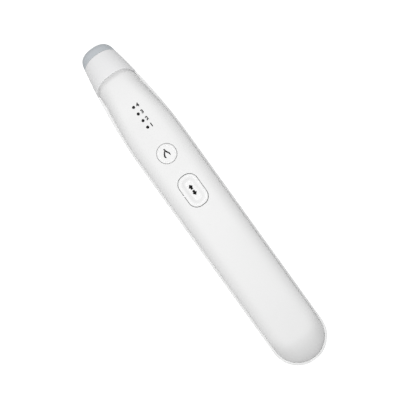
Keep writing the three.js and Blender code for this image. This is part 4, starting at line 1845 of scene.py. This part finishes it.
@dataclass
class LevelLights:
    """The four dark light pins in the cover and the numbers beside them."""

    smoked: Material
    ink: Material
    first: float = 46.9
    pitch: float = 4.0
    count: int = 4
    radius: float = 0.74
    foot: float = 0.95
    foot_low: float = 13.7
    cover_wall: float = 1.6
    bar_width: float = 3.4
    digit_height: float = 2.1
    digit_x: float = 2.3

    def build(self) -> None:
        """Makes the light guide and the numbers."""
        places = [self.first + i * self.pitch for i in range(self.count)]
        under = FORM.crown(0, places[-1], self.cover_wall)
        middle = (places[0] + places[-1]) / 2
        outline = rounded_outline(self.bar_width, self.count * self.pitch, 1.0, 6)
        levels = ((under - 1.5, 0.0), (under - 0.45, 0.0), (under - 0.35, 0.1))
        rows: Rows = []
        for z, edge in levels:
            ring = [(x * (1 - edge / 1.7), middle + y * (1 - edge / 8)) for x, y in outline]
            rows.append(level_row(ring, z))
        guide = loft("light_guide_bar", rows)
        pins, rim, waist = [], self.radius, under - 1.2
        for place in places:
            top = FORM.crown(0, place) + 0.02
            profile = [(0, self.foot_low), (self.foot, self.foot_low), (self.foot, waist), (rim, waist)]
            profile += [(rim, top - 0.1), (rim - 0.05, top - 0.03), (rim - 0.2, top)]
            profile += [(0.2, top + 0.03), (0, top + 0.03)]
            pins.append(turned("pin", profile, moved(y=place), 36))
        cut(guide, pins, join=True)
        finish_piece(guide, Body.WAND, self.smoked, "smoked", ["light_guide"])
        for number, place in enumerate(places, 1):
            self.build_digit(str(number), place)

    def build_digit(self, digit: str, y: float) -> None:
        """Makes one number beside its light.

        Args:
            digit: The number.
            y: The light's place along the wand.
        """
        font = bpy.data.curves.new(f"digit_{digit}", "FONT")
        font.body, font.size, font.offset = digit, 1.0, 0.045
        font.extrude = 0.02 * MM
        font.resolution_u = 6
        holder = linked(f"digit_{digit}", font)
        bpy.context.view_layer.update()
        data = bpy.data.meshes.new_from_object(holder.evaluated_get(bpy.context.evaluated_depsgraph_get()))
        bpy.data.objects.remove(holder)
        low = Vector([min(v.co[i] for v in data.vertices) for i in range(2)])
        high = Vector([max(v.co[i] for v in data.vertices) for i in range(2)])
        scale = self.digit_height * MM / (high.y - low.y)
        centre = (low + high) / 2
        for vertex in data.vertices:
            vertex.co.x = (vertex.co.x - centre.x) * scale + self.digit_x * MM
            vertex.co.y = (vertex.co.y - centre.y) * scale + y * MM
        mesh = bmesh.new()
        mesh.from_mesh(data)
        bpy.data.meshes.remove(data)
        mark = object_from(f"level_number_{digit}", mesh, 1e-7)
        drape(mark, FORM.crown, 0.5)
        finish_piece(mark, Body.WAND, self.ink, "smoked")


# ------------------------------------------------------------------ inner pieces


@dataclass
class InnerWorks:
    """The sealed pieces, which keep their own solids and get their finishes."""

    finishes: dict[str, Material]

    def dress(self) -> None:
        """Gives every CAD node the finish of its slot, which the nodes without another piece show."""
        for row in frame["record"]["subparts"]:
            node = frame["nodes"][row["node"]]
            material = self.finishes[row["material_slot"]]
            node.data.materials.clear()
            node.data.materials.append(material)
            log.info("%s: dressed as %s", row["node"], material.name)


# ------------------------------------------------------------------ studio


@dataclass
class Studio:
    """The pale floor, the soft light and the camera."""

    roll: float = math.radians(35.7)
    look_at: Place = (0.87, -2.9)
    field_width: float = 206.1
    lens: float = 380.0
    sensor: float = 36.0
    camera_lift: float = 0.015
    floor_half: float = 3.0
    softbox_place: tuple[float, float, float] = (-0.032, 0.045, 0.7)
    softbox_size: float = 0.28
    softbox_power: float = 5.12
    surroundings: float = 0.2

    def build_floor(self) -> None:
        """Makes a wide pale floor under the wand."""
        mesh = bmesh.new()
        bmesh.ops.create_grid(mesh, x_segments=2, y_segments=2, size=self.floor_half)
        floor = object_from("floor", mesh)
        floor.data.materials.append(PalePaper("pale floor").build())

    def build_light(self) -> None:
        """Makes the even surroundings and the square soft light that faces the wand."""
        world = bpy.data.worlds.new("studio")
        world.use_nodes = True
        background = world.node_tree.nodes["Background"]
        background.inputs["Color"].default_value = (1.0, 1.0, 1.0, 1.0)
        background.inputs["Strength"].default_value = self.surroundings
        bpy.context.scene.world = world
        data = bpy.data.lights.new("overhead", "AREA")
        data.shape, data.size, data.energy = "SQUARE", self.softbox_size, self.softbox_power
        lamp = linked("overhead", data)
        lamp.location = self.softbox_place
        lamp.rotation_euler = (-Vector(self.softbox_place)).to_track_quat("-Z", "Y").to_euler()
        lamp.visible_camera = False

    def build_camera(self) -> None:
        """Places the long-lens camera straight above the wand."""
        data = bpy.data.cameras.new("camera")
        data.lens, data.sensor_width = self.lens, self.sensor
        camera = linked("camera", data)
        distance = self.field_width * MM * self.lens / self.sensor
        camera.location = (self.look_at[0] * MM, self.look_at[1] * MM, distance + self.camera_lift)
        camera.rotation_euler = (0.0, 0.0, -self.roll)
        bpy.context.scene.camera = camera
        bpy.context.scene.view_settings.view_transform = "Standard"


FINISHES: dict[str, Finish] = {
    "shell_white": MouldedPlastic("satin white plastic", (0.66, 0.66, 0.66), 0.5, gloss=0.3),
    "sleeve_white": MouldedPlastic("satin sleeve plastic", (0.66, 0.66, 0.665), 0.52, gloss=0.3),
    "key_white": MouldedPlastic("key plastic", (0.69, 0.69, 0.69), 0.5, 3400.0, gloss=0.3),
    "tip_grey": MouldedPlastic("matt grey tip", (0.42, 0.445, 0.468), 0.6, grain_depth=0.2, gloss=0.3),
    "dark_plastic": MouldedPlastic("black plastic", (0.02, 0.02, 0.022), 0.5, tone=0.2),
    "smoked": MouldedPlastic("smoked lens plastic", (0.004, 0.004, 0.0045), 0.5, tone=0.1, gloss=0.08),
    "chip_black": MouldedPlastic("chip resin", (0.018, 0.018, 0.02), 0.6, grain_depth=0.5, tone=0.3),
    "flex_amber": MouldedPlastic("amber film", (0.42, 0.18, 0.03), 0.3, tone=0.12),
    "cell_blue": MouldedPlastic("cell sleeve", (0.03, 0.12, 0.3), 0.28, tone=0.08),
    "seal_rubber": SoftRubber("grey seal rubber", (0.5, 0.51, 0.52)),
    "switch_rubber": SoftRubber("black rubber"),
    "wire_red": SoftRubber("red insulation", (0.45, 0.02, 0.02), 0.5),
    "wire_black": SoftRubber("black insulation", (0.02, 0.02, 0.02), 0.5),
    "steel": DrawnMetal("plain steel"),
    "gold": DrawnMetal("gold plate", (0.86, 0.62, 0.27), 0.22, 5000.0),
    "board_green": CircuitBoard("green board"),
    "glass": CoatedGlass("coated glass"),
    "led_white": LampPhosphor("phosphor"),
    "print": PrintedInk("black print"),
}


def main() -> None:
    logging.basicConfig(level=logging.INFO, format="%(name)s: %(message)s")
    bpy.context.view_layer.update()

    studio = Studio()
    studio.build_camera()
    studio.build_floor()
    studio.build_light()

    looks = {slot: finish.build() for slot, finish in FINISHES.items()}
    InnerWorks(looks).dress()
    underside = Underside(looks["seal_rubber"], looks["gold"])
    housing = Housing(looks["shell_white"])
    housing.build_cover()
    housing.build_shell(underside)
    underside.build()
    axis = HeadAxis()
    nose = Nose(looks["sleeve_white"], looks["tip_grey"], axis)
    nose.build_sleeve()
    nose.build_ring()
    CameraHead(axis, looks["glass"], looks["dark_plastic"], looks["led_white"]).build()
    HeatKey(looks["key_white"], looks["print"]).build()
    LevelKey(looks["key_white"], looks["print"]).build()
    LevelLights(looks["smoked"], looks["print"]).build()


if __name__ == "__main__":
    main()
